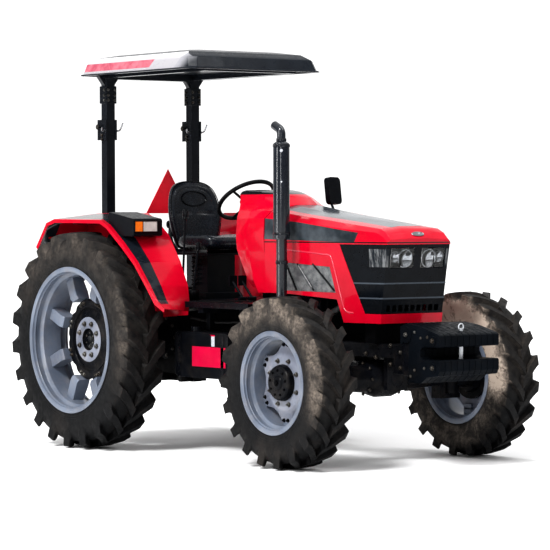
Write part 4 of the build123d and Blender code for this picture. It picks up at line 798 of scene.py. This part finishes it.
for hand in ("left", "right"):
    key = "front_" + hand
    h = rim(0.125, 0.306, 0.024, 112)
    # six brackets welded in the well
    for a in turns(6):
        p = Matrix.Rotation(-a, 4, "X")
        h.box((-0.022, -0.037, 0.232), (0.008, 0.037, 0.276), p)
        h.box((-0.022, -0.037, 0.205), (-0.008, 0.037, 0.240), p)
    fit(h, "rim", key, "rim", "grey_paint", "front_rim_" + hand, extra=(0.002, 2, 40))
    h = ring_disc(
        [(0.008, None), (0.011, 0.245), (0.013, 0.226), (0.022, 0.202), (0.031, 0.182), (0.032, 0.172),
         (0.032, 0.116)],
        [(-0.001, None), (0.003, 0.222), (0.020, 0.176), (0.022, 0.116)],
        216, lobed,
    )
    fit(h, "disc", key, "disc", "grey_paint", extra=(0.001, 2, 45))
    h = Heap()
    h.spin([
        (-0.030, 0.001), (-0.030, 0.118), (-0.002, 0.128), (-0.002, 0.170), (0.022, 0.170), (0.022, 0.1155),
        (0.030, 0.1155), (0.064, 0.1135), (0.072, 0.110), (0.078, 0.103), (0.080, 0.096), (0.080, 0.048),
        (0.086, 0.044), (0.090, 0.038), (0.090, 0.001),
    ], None, 84)
    h.spin([(0.036, 0.1135), (0.036, 0.1175), (0.044, 0.1175), (0.044, 0.1135)], None, 84, closed=True)
    fit(h, "hub", key, "cast", "black_cast", "front_hub_" + hand, extra=(0.0012, 2, 40))
    h = Heap()
    h.wheel_bolts(0.032, 0.148, turns(8, pi / 8), 0.0125, 0.012, 0.008)
    fit(h, "wheel_nuts", key, "bolt", "grey_paint", smooth=False)
    h = Heap()
    h.wheel_bolts(0.011, 0.243, [a + d for a in turns(6) for d in (-0.085, 0.085)], 0.010, 0.009, 0.006)
    h.wheel_bolts(0.080, 0.080, turns(9), 0.0065, 0.006)
    h.bolt((0.090, 0, 0), (1, 0, 0), 0.016, 0.006)
    fit(h, "disc_bolts", key, "deep", "black_cast", smooth=False)

# ---------------------------------------------------------------- seat
SEAT = 1.430                         # where cushion and backrest meet
BACK_MID, SEAT_MID = SEAT + 0.20, 0.22


def smooth_ring(half, top, foot, n=84):
    """n points evenly along a smooth closed line: half of it, its mirror image and two ends on the axis."""
    points = half + [(0, top)] + [(-x, z) for x, z in reversed(half)] + [(0, foot)]
    m = len(points)
    dense = []
    for i in range(m):
        four = [Vector((*points[(i + k) % m], 0)) for k in (-1, 0, 1, 2)]
        dense += [between(*four, s / 12) for s in range(12)]
    total = [0.0]
    for a, b in zip(dense, dense[1:] + dense[:1]):
        total.append(total[-1] + (b - a).length)
    out, k = [], 0
    for i in range(n):
        want = total[-1] * i / n
        while total[k + 1] < want:
            k += 1
        u = (want - total[k]) / (total[k + 1] - total[k])
        p = dense[k].lerp(dense[(k + 1) % len(dense)], u)
        out.append((p.x, p.y))
    return out


def pad(name, node, ring, mid, place, front, back, seams):
    """A stuffed panel: ring is its outline, place(u, v, d) puts a point, d its height."""
    shares = [1.0, 0.985, 0.955, 0.91, 0.85, 0.79, 0.77, 0.75, 0.66, 0.54, 0.40, 0.26, 0.13]
    groove = 0.77                    # share of the outline where the piping's seam runs
    v, rows = [], []
    for side, full, s in [(1, front, s) for s in reversed(shares)] + [(-1, back, s) for s in shares[1:]]:
        q = min((1 - s) / 0.20, 1.0)
        h = full * sqrt(max(0.0, 1 - (1 - q) ** 2)) + full * 0.10 * (1 - s)
        if side > 0 and s == groove:
            h -= 0.0045
        rows.append(len(v))
        for x, z in ring:
            px, pz = x * s, mid + (z - mid) * s
            dent = sum(0.006 * exp(-((pz - z0) / 0.006) ** 2) for z0 in seams)
            v.append(place(px, pz, side * (h - dent if side > 0 and s < groove else h)))
    n = len(ring)
    f = [q for a, b in zip(rows, rows[1:]) for q in ladder(a, b, n)]
    f += [[a + i for i in range(n)] for a in (rows[0], rows[-1])]
    o = made(name, v, f, M["vinyl"], "chassis")
    s = o.modifiers.new("smooth", "SUBSURF")
    s.levels = s.render_levels = 1
    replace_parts(o, node)


def on_back(x, z, d):
    bend = 0.045 * (abs(x) / 0.226) ** 2          # the wings reach forward
    return (x, RA - 0.058 + 0.14 * (z - SEAT) - d - bend, z)


def on_seat(x, y, d):
    wing = 0.020 * max(0.0, abs(x) / 0.232 - 0.62) / 0.38 + 0.006 * (y / 0.45) if d > 0 else 0
    return (x, RA - 0.573 + y, SEAT - 0.004 + d + wing)


back_ring = smooth_ring(
    [(0.150, SEAT - 0.044), (0.196, SEAT + 0.05), (0.220, SEAT + 0.18), (0.204, SEAT + 0.315),
     (0.158, SEAT + 0.398), (0.078, SEAT + 0.431)], SEAT + 0.436, SEAT - 0.048)
pad("seat_back_pad", "seat_backrest", back_ring, BACK_MID, on_back, 0.040, 0.030, (SEAT + 0.205,))
h = Heap()
h.tube([on_back(x * 0.985, BACK_MID + (z - BACK_MID) * 0.985, 0.022)
        for x, z in back_ring[::3] + back_ring[:1]], 0.0035, 8, 4)
# a bare embossed oval on the upper panel
oval = [on_back(0.105 * cos(a), SEAT + 0.310 + 0.052 * sin(a), 0.0455) for a in turns(32) + [2 * pi]]
h.tube(oval, 0.0042, 8, 1)
h.out("seat_piping", "gloss", "vinyl")

seat_ring = smooth_ring(
    [(0.170, 0.0), (0.224, 0.05), (0.232, 0.20), (0.222, 0.36), (0.170, 0.438)], 0.446, -0.002)
pad("seat_cushion_pad", "seat_cushion", seat_ring, SEAT_MID, on_seat, 0.044, 0.042, (0.15, 0.30))
h = Heap(RA)
h.box((-0.195, -0.50, SEAT - 0.075), (0.195, -0.09, SEAT - 0.048))
for s in (1, -1):
    h.tube([(s * 0.18, -0.12, SEAT - 0.06), (s * 0.20, -0.07, SEAT + 0.02),
            (s * 0.17, -0.035, SEAT + 0.15)], 0.012)
# suspension springs between the seat's pedestal and pan
for x in (-0.13, 0.13):
    h.tube([(x + 0.028 * cos(k * 0.9), -0.27 + 0.028 * sin(k * 0.9), 1.12 + 0.0046 * k) for k in range(46)],
           0.005, 6, 1)
h.out("seat_frame", "black", "black_paint")

# ---------------------------------------------------------------- nose and hood
RAKE = 0.1566                        # how far the nose leans back for each metre up


def on_nose(x, z, behind):
    """A point this far behind the raked front plane of the nose, Y from the front axle."""
    return (x, -0.311 - RAKE * (z - 0.923) + behind, z)


glass, chrome, housing, bulbs = (Heap(FA) for _ in range(4))
corners = [(0.0335, 1.2815), (0.2225, 1.2815), (0.2225, 1.4065), (0.0335, 1.4065)]
for s in (1, -1):
    for heap, front, back, caps in (
            (glass, 0.002, 0.005, [(0, 1, 2, 3), (4, 5, 6, 7)]), (housing, 0.006, 0.056, [(4, 5, 6, 7)])):
        heap.add([on_nose(s * x, z, d) for d in (front, back) for x, z in corners], caps + ladder(0, 4, 4))
    for cx, r, up in ((0.098, 0.056, 0.0), (0.184, 0.034, 0.012)):
        x, y, z = on_nose(s * cx, 1.344, 0.012)
        p = facing((x, y, 1.340 + up), (0, 1, RAKE))
        chrome.spin([(0.0, r), (0.004, r * 0.985), (0.012, r * 0.90), (0.022, r * 0.72), (0.030, r * 0.50),
                     (0.036, r * 0.25), (0.038, 0.001)], p, 40)
        chrome.spin([(-0.002, r * 1.06), (-0.002, r), (0.003, r), (0.003, r * 1.06)], p, 40, closed=True)
        bulbs.spin([(0.030, 0.006), (0.012, 0.007), (0.008, 0.005), (0.007, 0.001)], p, 16)
    # a plain chrome shelf under the main reflector catches the light
    shelf = [on_nose(s * 0.040, 1.284, 0.008), on_nose(s * 0.158, 1.284, 0.008)]
    shelf += [(x, on_nose(x, 1.30, 0.040)[1], 1.302) for x in (s * 0.150, s * 0.048)]
    chrome.add(shelf, [(0, 1, 2, 3)])
    back, front = (on_nose(0, 1.344, d)[1] for d in (0.030, 0.010))
    housing.box((s * 0.138, back, 1.283), (s * 0.146, front, 1.405))
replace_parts(glass.out("headlamp_lenses", "glass", "lamp", "hood", smooth=False), "headlamps")
chrome.out("headlamp_reflectors", "chrome", "lamp", "hood")
housing.out("headlamp_housings", "gloss", "gloss_black", "hood", smooth=False)
bulbs.out("headlamp_bulbs", "clear_lens", "lamp", "hood")

h = Heap(FA)
for s in (1, -1):
    for top, foot in ((0.298, 0.094), (0.451, 0.297), (0.563, 0.466)):
        bar = [(top, 1.300), ((top + foot) / 2, 1.214), (foot, 1.128)]
        h.tube([(s * (0.312 + 0.0318 * y / 0.45 - 0.010 * (1.33 - z) / 0.4), y, z) for y, z in bar],
               0.0065, 8, 4)
h.out("window_bars", "gloss", "gloss_black", "hood")


def on_flank(obj, side, y, z, sunk=0.003):
    """The point of this shell's outer flank at y and z, a little under the skin."""
    hit, at, normal, index = obj.ray_cast(Vector((side * 1.2, y, z)), Vector((-side, 0, 0)))
    return [Vector((at.x - side * sunk, y, z))] if hit else []


# a pressed crease along the hood's flank and down its front post: y from the window's front end, z
CREASE = [
    (0.734, 1.409), (0.524, 1.394), (0.274, 1.377), (0.114, 1.366), (0.054, 1.360), (0.032, 1.338),
    (0.008, 1.270), (-0.030, 1.150), (-0.066, 1.040), (-0.082, 1.008), (-0.110, 0.992), (-0.156, 0.988),
]
window = N["hood_louvres"]
wy = min((window.matrix_world @ v.co).y for v in window.data.vertices)
h = Heap()
for s in (1, -1):
    h.tube([q for y, z in CREASE for q in on_flank(N["hood_shell"], s, wy + y, z)], 0.0062, 10, 3)
# the bead's lighter red is a painted highlight
h.out("hood_crease", "crease", "red_paint", "hood")

# badge on the brow: a bare oval
h = Heap(FA)
dome = [(0.0, 1.0), (0.0035, 0.97), (0.0045, 0.88), (0.0032, 0.82), (0.0030, 0.0)]
h.add([(q, k * 0.052 * cos(a), k * 0.0185 * sin(a)) for a in turns(40) for q, k in dome],
      [q for i in range(40) for q in ladder(5 * i, 5 * ((i + 1) % 40), 5, False)],
      facing((0.0, -0.3775, 1.4965), (0, -0.785, 0.62)))
h.out("nose_badge", "chrome", "grey_paint", "hood")

# ---------------------------------------------------------------- lamps on the fenders
for s, side in ((1, "left"), (-1, "right")):
    for name, look, slot, edge, front, boxes in (
            ("indicator_", "amber", "lamp", 0.0025, 0.006, ((0.822, 0.884, 1.512, 1.580),)),
            ("side_lamp_", "clear_lens", "lamp", 0.0025, 0.005, ((0.702, 0.820, 1.512, 1.580),)),
            ("lamp_frame_", "gloss", "black_plastic", 0.0012, 0.008, (
                (0.696, 0.890, 1.504, 1.511), (0.696, 0.890, 1.581, 1.588), (0.696, 0.7015, 1.504, 1.588),
                (0.885, 0.890, 1.504, 1.588), (0.8195, 0.8225, 1.504, 1.588)))):
        h = Heap(FA + 1.560)
        for x0, x1, z0, z1 in boxes:
            h.box((s * x0, -front, z0), (s * x1, 0.004, z1))
        h.out(name + side, look, slot, edge=edge)

# ---------------------------------------------------------------- roll-over frame
POST_X, POST_Y = 0.374, 2.652        # the posts' middle
h, bolts, pins = Heap(FA + POST_Y), Heap(FA + POST_Y), Heap(FA + POST_Y)
for s in (1, -1):
    px = s * POST_X
    # clamp bolts on the front and side faces
    for z in (2.452, 2.488, 2.527):
        for dx in (-0.030, 0.030):
            h.bolt((px + dx, -0.0445, z), (0, -1, 0), 0.0085, 0.008, 0.004)
        for way, y in ((s, -0.02), (-s, 0.02)):
            h.bolt((px + way * 0.0445, y, z), (way, 0, 0), 0.0085, 0.008)
    for way in (1, -1):
        for z in (2.172, 2.200):
            bolts.bolt((px + way * 0.051, 0.005, z), (way, 0, 0), 0.009, 0.007)
        bolts.bolt((px + way * 0.070, 0.035, 2.260), (way, 0, 0), 0.014, 0.006)      # the hinge's nut
    # bolted feet on the axle housing
    feet = [(RA - FA - POST_Y + dy, z) for dy in (-0.075, 0.075) for z in (0.835, 0.90)]
    bolts.bolts(s, POST_X + 0.036, feet, 0.014, 0.011, 0.006)
    # the lock pin with its lever and hook
    pins.rod((px - 0.064, -0.022, 2.232), (px + 0.064, -0.022, 2.232), 0.008)
    for bend in (
            ((0.062, -0.022, 2.232), (0.078, -0.030, 2.236), (0.086, -0.045, 2.262), (0.094, -0.050, 2.290)),
            ((-0.062, -0.022, 2.232), (-0.074, -0.030, 2.236), (-0.080, -0.040, 2.256))):
        pins.tube([(px + x, y, z) for x, y, z in bend], 0.006)
h.out("clamp_bolts", "bolt", "black_paint", "rops_upper", smooth=False)
bolts.out("frame_bolts", "bolt", "black_paint", smooth=False)
pins.out("lock_pins", "steel", "steel")

# ---------------------------------------------------------------- dash and controls
h = Heap(FA)
ax = Vector((0, sin(radians(38)), cos(radians(38))))       # the steering wheel's axis
h.spin([(0.0, 0.050), (0.006, 0.050), (0.012, 0.045), (0.014, 0.034), (0.014, 0.001)],
       facing(Vector((0, 1.480, 1.727)) - ax * 0.006, ax), 40)
h.out("wheel_boss", "rubber", "grip", "steering_wheel")
h = Heap(FA)
h.box((-0.150, 1.150, 1.560), (0.150, 1.160, 1.685))
h.out("cluster_panel", "plastic", "black_plastic", edge=0.004)
h, g = Heap(FA), Heap(FA)
for x, r in ((-0.085, 0.034), (0.0, 0.046), (0.085, 0.034)):
    p = facing((x, 1.160, 1.635), (0, 1, 0.0))
    h.spin([(0, r), (0.006, r), (0.006, r * 0.9), (0.003, r * 0.88)], p, 32)
    g.spin([(0.002, r * 0.88), (0.0025, 0.001)], p, 32)
for x in (-0.12, -0.07, 0.07, 0.12):
    h.rod((x, 1.158, 1.580), (x, 1.176, 1.580), 0.009, 16)
h.out("gauge_rings", "gloss", "black_plastic")
g.out("gauge_faces", "grey", "lamp")
h = Heap(FA)
for s in (1, -1):
    h.rod((s * 0.400, 1.652, 1.600), (s * 0.400, 1.6485, 1.662), 0.0215, 20, 0.0165)
    h.rod((s * 0.370, 1.5425, 1.380), (s * 0.370, 1.5375, 1.434), 0.0195, 20, 0.0150)
h.out("lever_grips", "gloss", "grip")

# mirror glass in its shell
mp = Matrix.Translation((0.500, FA + 1.138, 1.788))
mp = mp @ Matrix.Rotation(radians(12), 4, "Z") @ Matrix.Rotation(radians(-8), 4, "X")
n = 40


def squared(c):
    """A cosine or sine, drawn toward a rounded rectangle's."""
    return abs(c) ** 0.35 * (1 if c > 0 else -1)


v = [mp @ Vector((0.055 * squared(cos(a)), y, 0.085 * squared(sin(a))))
     for y in (0.0202, 0.0212) for a in turns(n)]
caps = [list(range(n)), list(range(n, 2 * n))]
o = made("mirror_glass", v, caps + ladder(0, n, n), M["mirror"], "chassis", False)

# ---------------------------------------------------------------- boxes, rods and hoses all round
# name, look, slot, edge, boxes of two opposite corners
BOXED = (
    ("pedal_pads", "rubber", "grip", 0.0008, [
        ((x - 0.030, 1.331, z), (x + 0.030, 1.3345, z + 0.005))
        for x in (-0.230, -0.150, 0.190) for z in (1.142, 1.154, 1.166, 1.178, 1.190, 1.200)]),
    ("platform_ribs", "rubber", "black_paint", 0.001, [
        ((s * 0.235, 1.05 + 0.020 * k, 1.0345), (s * 0.585, 1.059 + 0.020 * k, 1.0385))
        for s in (1, -1) for k in range(15)]),
    # the light strip above the tank's red band
    ("tank_strip", "grey", "grey_paint", 0.0006, [((-0.6025, 1.030, 0.738), (-0.6000, 1.068, 0.815))]),
    ("tank_strip_top", "band", "red_paint", 0.0004, [((-0.6030, 1.026, 0.806), (-0.6000, 1.072, 0.816))]),
    ("battery_lid", "plastic", "black_plastic", 0.003, [((0.335, 0.885, 0.826), (0.595, 1.295, 0.838))] + [
        ((0.598, y, 0.60), (0.6025, y + 0.012, 0.80)) for y in (0.95, 1.09, 1.23)]),
    ("step_grips", "rubber", "black_paint", 0.0008, [
        ((0.618, 0.975 + 0.042 * k, z), (0.712, 0.983 + 0.042 * k, z + 0.004))
        for z in (0.520, 0.780) for k in range(6)]),
    ("fender_hangers", "black", "black_paint", 0.002, [
        ((s * 0.560, y, 1.560), (s * 0.900, y + 0.018, 1.574)) for s in (1, -1) for y in (2.12, 2.29)]),
    ("tail_lamps", "tail", "lamp", 0.003, [
        ((s * 0.70, 2.690, 1.455), (s * 0.86, 2.712, 1.505)) for s in (1, -1)]),
)
for name, look, slot, edge, boxes in BOXED:
    h = Heap(FA)
    for a, b in boxes:
        h.box(a, b)
    h.out(name, look, slot, edge=edge)

# front weights: bolts on the end plates and the tow pin through the jaws
h = Heap(FA)
for s in (1, -1):
    h.bolts(s, 0.2555, ((-0.560, 0.862), (-0.820, 0.832), (-0.820, 0.660)), 0.0125, 0.010)
    h.bolts(s, 0.248, ((-0.640, 0.880), (-0.640, 0.640), (-0.735, 0.655), (-0.700, 0.845), (-0.60, 0.60),
                       (-0.765, 0.852)), 0.008, 0.006)
h.out("weight_bolts", "bolt", "black_cast", smooth=False)
h = Heap(FA - 0.800)
h.rod((0, 0, 0.630), (0, 0, 0.905), 0.013, 20)
h.tube([(0.020 * cos(a), 0, 0.912 + 0.020 * sin(a)) for a in turns(24) + [2 * pi]], 0.0045, 8, 1)
h.out("tow_pin", "silver", "steel")
h = Heap(FA)
for s in (1, -1):
    h.bolts(s, 0.1655, ((-0.30, 0.66), (-0.30, 0.78), (-0.40, 0.64), (-0.40, 0.74), (-0.46, 0.70),
                        (-0.15, 0.70), (-0.05, 0.72)), 0.012, 0.009, 0.005)
h.out("support_bolts", "bolt", "black_cast", smooth=False)

# engine: pump, filters and ribs seen between hood and axle; x, y and z of both ends, radius, facets
h = Heap(FA)
for x, ya, za, yb, zb, r, n in (
    (-0.262, 0.36, 0.80, 0.36, 0.945, 0.052, 32), (-0.262, 0.36, 0.945, 0.36, 0.965, 0.058, 32),
    (-0.258, 0.68, 0.76, 0.68, 0.90, 0.048, 32), (-0.258, 0.68, 0.90, 0.68, 0.92, 0.054, 32),
    (-0.20, 0.33, 1.03, 0.52, 1.03, 0.046, 24),
    (0.262, 0.40, 0.86, 0.52, 0.86, 0.058, 28), (0.258, 0.66, 0.80, 0.66, 0.95, 0.045, 28),
):
    h.rod((x, ya, za), (x, yb, zb), r, n)
h.box((-0.225, 0.56, 0.95), (-0.204, 0.86, 1.06))
h.box((-0.215, 0.30, 0.70), (-0.204, 0.90, 0.725))
for k in range(8):
    for s in (1, -1):
        h.box((s * 0.204, 0.34 + 0.07 * k, 0.745), (s * 0.211, 0.352 + 0.07 * k, 0.93))
h.out("engine_parts", "cast", "black_cast", edge=0.002)
h = Heap(FA)
for r, n, points in (
    (0.022, 12, [(-0.17, -0.12, 1.10), (-0.235, 0.02, 1.06), (-0.232, 0.22, 0.98), (-0.215, 0.34, 0.96)]),
    (0.007, 8, [(-0.262, 0.40, 0.955), (-0.245, 0.50, 1.00), (-0.238, 0.62, 0.98), (-0.262, 0.68, 0.935)]),
    (0.008, 8, [(-0.215, 0.30, 0.76), (-0.232, 0.10, 0.70), (-0.205, 0.00, 0.66)]),
    (0.009, 8, [(-0.220, 0.90, 0.95), (-0.260, 1.10, 0.90), (-0.240, 1.50, 0.88), (-0.230, 1.83, 0.90)]),
    (0.009, 8, [(0.220, 0.90, 0.93), (0.260, 1.10, 0.89), (0.240, 1.50, 0.87), (0.230, 1.83, 0.90)]),
    (0.011, 8, [(-0.212, 1.20, 0.98), (-0.300, 1.45, 0.985), (-0.330, 1.63, 0.97), (-0.23, 1.88, 0.95)]),
    (0.022, 12, [(0.17, -0.12, 1.10), (0.235, 0.02, 1.04), (0.232, 0.22, 0.98), (0.215, 0.34, 0.94)]),
):
    h.tube(points, r, n)
h.out("hoses", "hose", "black_paint")

# front axle: bolts on its trumpets and hoses to the steering cylinder
h, g = Heap(FA), Heap(FA)
for s in (1, -1):
    g.bolts(s, 0.150, [(0.100 * cos(a), 0.553 + 0.100 * sin(a)) for a in turns(8)], 0.009, 0.008)
    h.tube([(s * 0.12, 0.215, 0.68), (s * 0.13, 0.26, 0.76), (s * 0.10, 0.34, 0.82), (s * 0.12, 0.46, 0.84)],
           0.007, 8)
h.out("axle_hoses", "hose", "black_paint")
g.out("axle_bolts", "bolt", "black_cast", smooth=False)

# the tank's cap and straps
h = Heap(FA)
h.rod((-0.500, 1.38, 0.826), (-0.500, 1.38, 0.860), 0.038, 28)
for y in (0.925, 1.425):
    h.box((-0.604, y, 0.530), (-0.600, y + 0.035, 0.815))
h.box((-0.6005, 0.88, 0.545), (-0.5985, 0.90, 0.80))
h.out("tank_straps", "black", "black_plastic", edge=0.0012)

# exhaust: clamp bands, rivets on the side that the right faces, and the dark mouth
SX, SY = -0.450, FA + 0.480
h = Heap(SY)
for z, inner, outer, wide, n in ((1.490, 0.0556, 0.0575, 0.016, 48), (2.070, 0.0556, 0.0575, 0.016, 48),
                                 (1.30, 0.0365, 0.041, 0.022, 40), (2.106, 0.0295, 0.034, 0.020, 40)):
    h.hoop((SX, 0, z), (0, 0, 1), inner, outer, wide, n)
h.out("stack_bands", "frame", "black_paint")
h = Heap(SY)
out = Vector((-0.60, -0.80, 0))
for z, r, high in ((2.045, 0.0075, 0.003), (1.84, 0.0045, 0.002)):
    h.bolt(out * 0.0545 + Vector((SX, 0, z)), out, r, high)
h.out("stack_rivets", "silver", "black_paint", smooth=False)
h = Heap(SY)
out = Vector((0, 0.075, 0.035)).normalized()
mouth = facing(Vector((SX, 0.075, 2.215)) - out * 0.004, out)
h.spin([(0.0, 0.0285), (-0.055, 0.0245), (-0.055, 0.0001)], mouth, 32)
h.out("stack_mouth", "deep", "black_paint")

# rear: remote couplers and plate bolts
h = Heap(RA)
for x in (-0.12, -0.06, 0.06, 0.12):
    h.rod((x, 0.195, 1.060), (x, 0.250, 1.055), 0.018, 20)
    h.hoop((x, 0.232, 1.057), (0, 1, 0), 0.020, 0.023, 0.010, 24)
h.out("couplers", "steel", "steel")
h = Heap(RA)
for a in turns(10):
    h.bolt((0.090 * cos(a), 0.231, 0.690 + 0.090 * sin(a)), (0, 1, 0), 0.009, 0.008)
for s in (1, -1):
    h.bolts(s, 0.222, [(0.138 * cos(a), 0.755 + 0.138 * sin(a)) for a in turns(10)], 0.011, 0.009)
h.out("rear_bolts", "bolt", "black_cast", smooth=False)

# ---------------------------------------------------------------- floor, light, camera
t = Tree("pale_floor")
pale = t.mix(t.speck(0.8, 3, 0.3, 0.7), (0.955, 0.955, 0.958), (0.975, 0.975, 0.978))
t.set(pale, 0.75)
FLOOR = 45                           # half the floor's side
me = bpy.data.meshes.new("floor")
square = [(-FLOOR, -FLOOR, 0), (FLOOR, -FLOOR, 0), (FLOOR, FLOOR, 0), (-FLOOR, FLOOR, 0)]
me.from_pydata(square, [], [(0, 1, 2, 3)])
floor = bpy.data.objects.new("floor", me)
bpy.context.collection.objects.link(floor)
dress(floor, t.mat)

# the world's strength low around the camera, overhead, and as the camera itself sees it
WALLS, CEILING, SEEN = 0.12, 0.95, 1.0
AWAY = (0.603, 0.798, 0.0)           # the way that the camera looks
WHITE = (1, 1, 1, 1)
world = bpy.data.worlds.new("studio")
scene = bpy.context.scene
scene.world = world
world.use_nodes = True
links = world.node_tree.links


def world_node(kind, operation=None, **inputs):
    n = world.node_tree.nodes.new("ShaderNode" + kind)
    if operation:
        n.operation = operation
    for key, value in inputs.items():
        n.inputs[key.replace("_", " ")].default_value = value
    return n


def spread(source, low, high, bright):
    m = world_node("MapRange", From_Min=low, From_Max=high, To_Min=WALLS, To_Max=bright)
    links.new(source, m.inputs["Value"])
    return m.outputs["Result"]


# a white sweep behind and above the tractor, dim walls around the camera
where = world_node("TexCoord").outputs["Generated"]
split = world_node("SeparateXYZ")
links.new(where, split.inputs[0])
behind = world_node("VectorMath", "DOT_PRODUCT")
behind.inputs[1].default_value = AWAY
links.new(where, behind.inputs[0])
brightest = world_node("Math", "MAXIMUM")
links.new(spread(split.outputs["Z"], 0.0, 0.85, CEILING), brightest.inputs[0])
links.new(spread(behind.outputs["Value"], 0.35, 0.92, 1.0), brightest.inputs[1])
sky = world.node_tree.nodes["Background"]
sky.inputs["Color"].default_value = WHITE
links.new(brightest.outputs[0], sky.inputs["Strength"])
sweep = world_node("Background", Color=WHITE, Strength=SEEN)
pick = world_node("MixShader")
links.new(world_node("LightPath").outputs["Is Camera Ray"], pick.inputs["Fac"])
links.new(sky.outputs[0], pick.inputs[1])
links.new(sweep.outputs[0], pick.inputs[2])
links.new(pick.outputs[0], world.node_tree.nodes["World Output"].inputs["Surface"])
scene.view_settings.view_transform = "Standard"
scene.view_settings.look = "Medium High Contrast"


def light(name, kind, pos, target, energy, **props):
    lamp = bpy.data.lights.new(name, kind)
    lamp.energy = energy
    for key, value in props.items():
        setattr(lamp, key, value)
    o = bpy.data.objects.new(name, lamp)
    bpy.context.collection.objects.link(o)
    o.location = pos
    o.rotation_euler = (Vector(target) - Vector(pos)).to_track_quat("-Z", "Y").to_euler()


light("key", "SUN", (-7.0, -2.5, 8.0), (0, 0, 0), 2.7, angle=radians(14))
for name, pos, aim, wide, high, watts in (
    ("strip", (-9.0, 1.1, 2.2), 1.6, 0.7, 6.0, 320),
    ("side", (-7.0, -7.0, 3.0), 1.2, 0.8, 3.0, 90),
    ("top", (1.5, -2.0, 7.0), 1.0, 1.5, 5.0, 160),
):
    light(name, "AREA", pos, (0, 0, aim), watts, shape="RECTANGLE", size=wide, size_y=high)

# the camera stands far off to the right of the nose, as a long lens sees it
cam = bpy.data.cameras.new("camera")
cam.sensor_width, cam.lens = 36, 179.17
cam.shift_x, cam.shift_y = -0.0086, 0.0012
cam.clip_end = 200
cam_obj = bpy.data.objects.new("camera", cam)
bpy.context.collection.objects.link(cam_obj)
yaw, pitch, roll = 0.6476, -0.0231, -0.0033
fwd = Vector((sin(yaw) * cos(pitch), cos(yaw) * cos(pitch), sin(pitch)))
side = fwd.cross(Vector((0, 0, 1))).normalized()
up = side.cross(fwd)
side, up = side * cos(roll) + up * sin(roll), up * cos(roll) - side * sin(roll)
turned = Matrix((side, up, -fwd)).transposed().to_4x4()
cam_obj.matrix_world = Matrix.Translation((-11.340, -14.965, 1.639)) @ turned
scene.camera = cam_obj
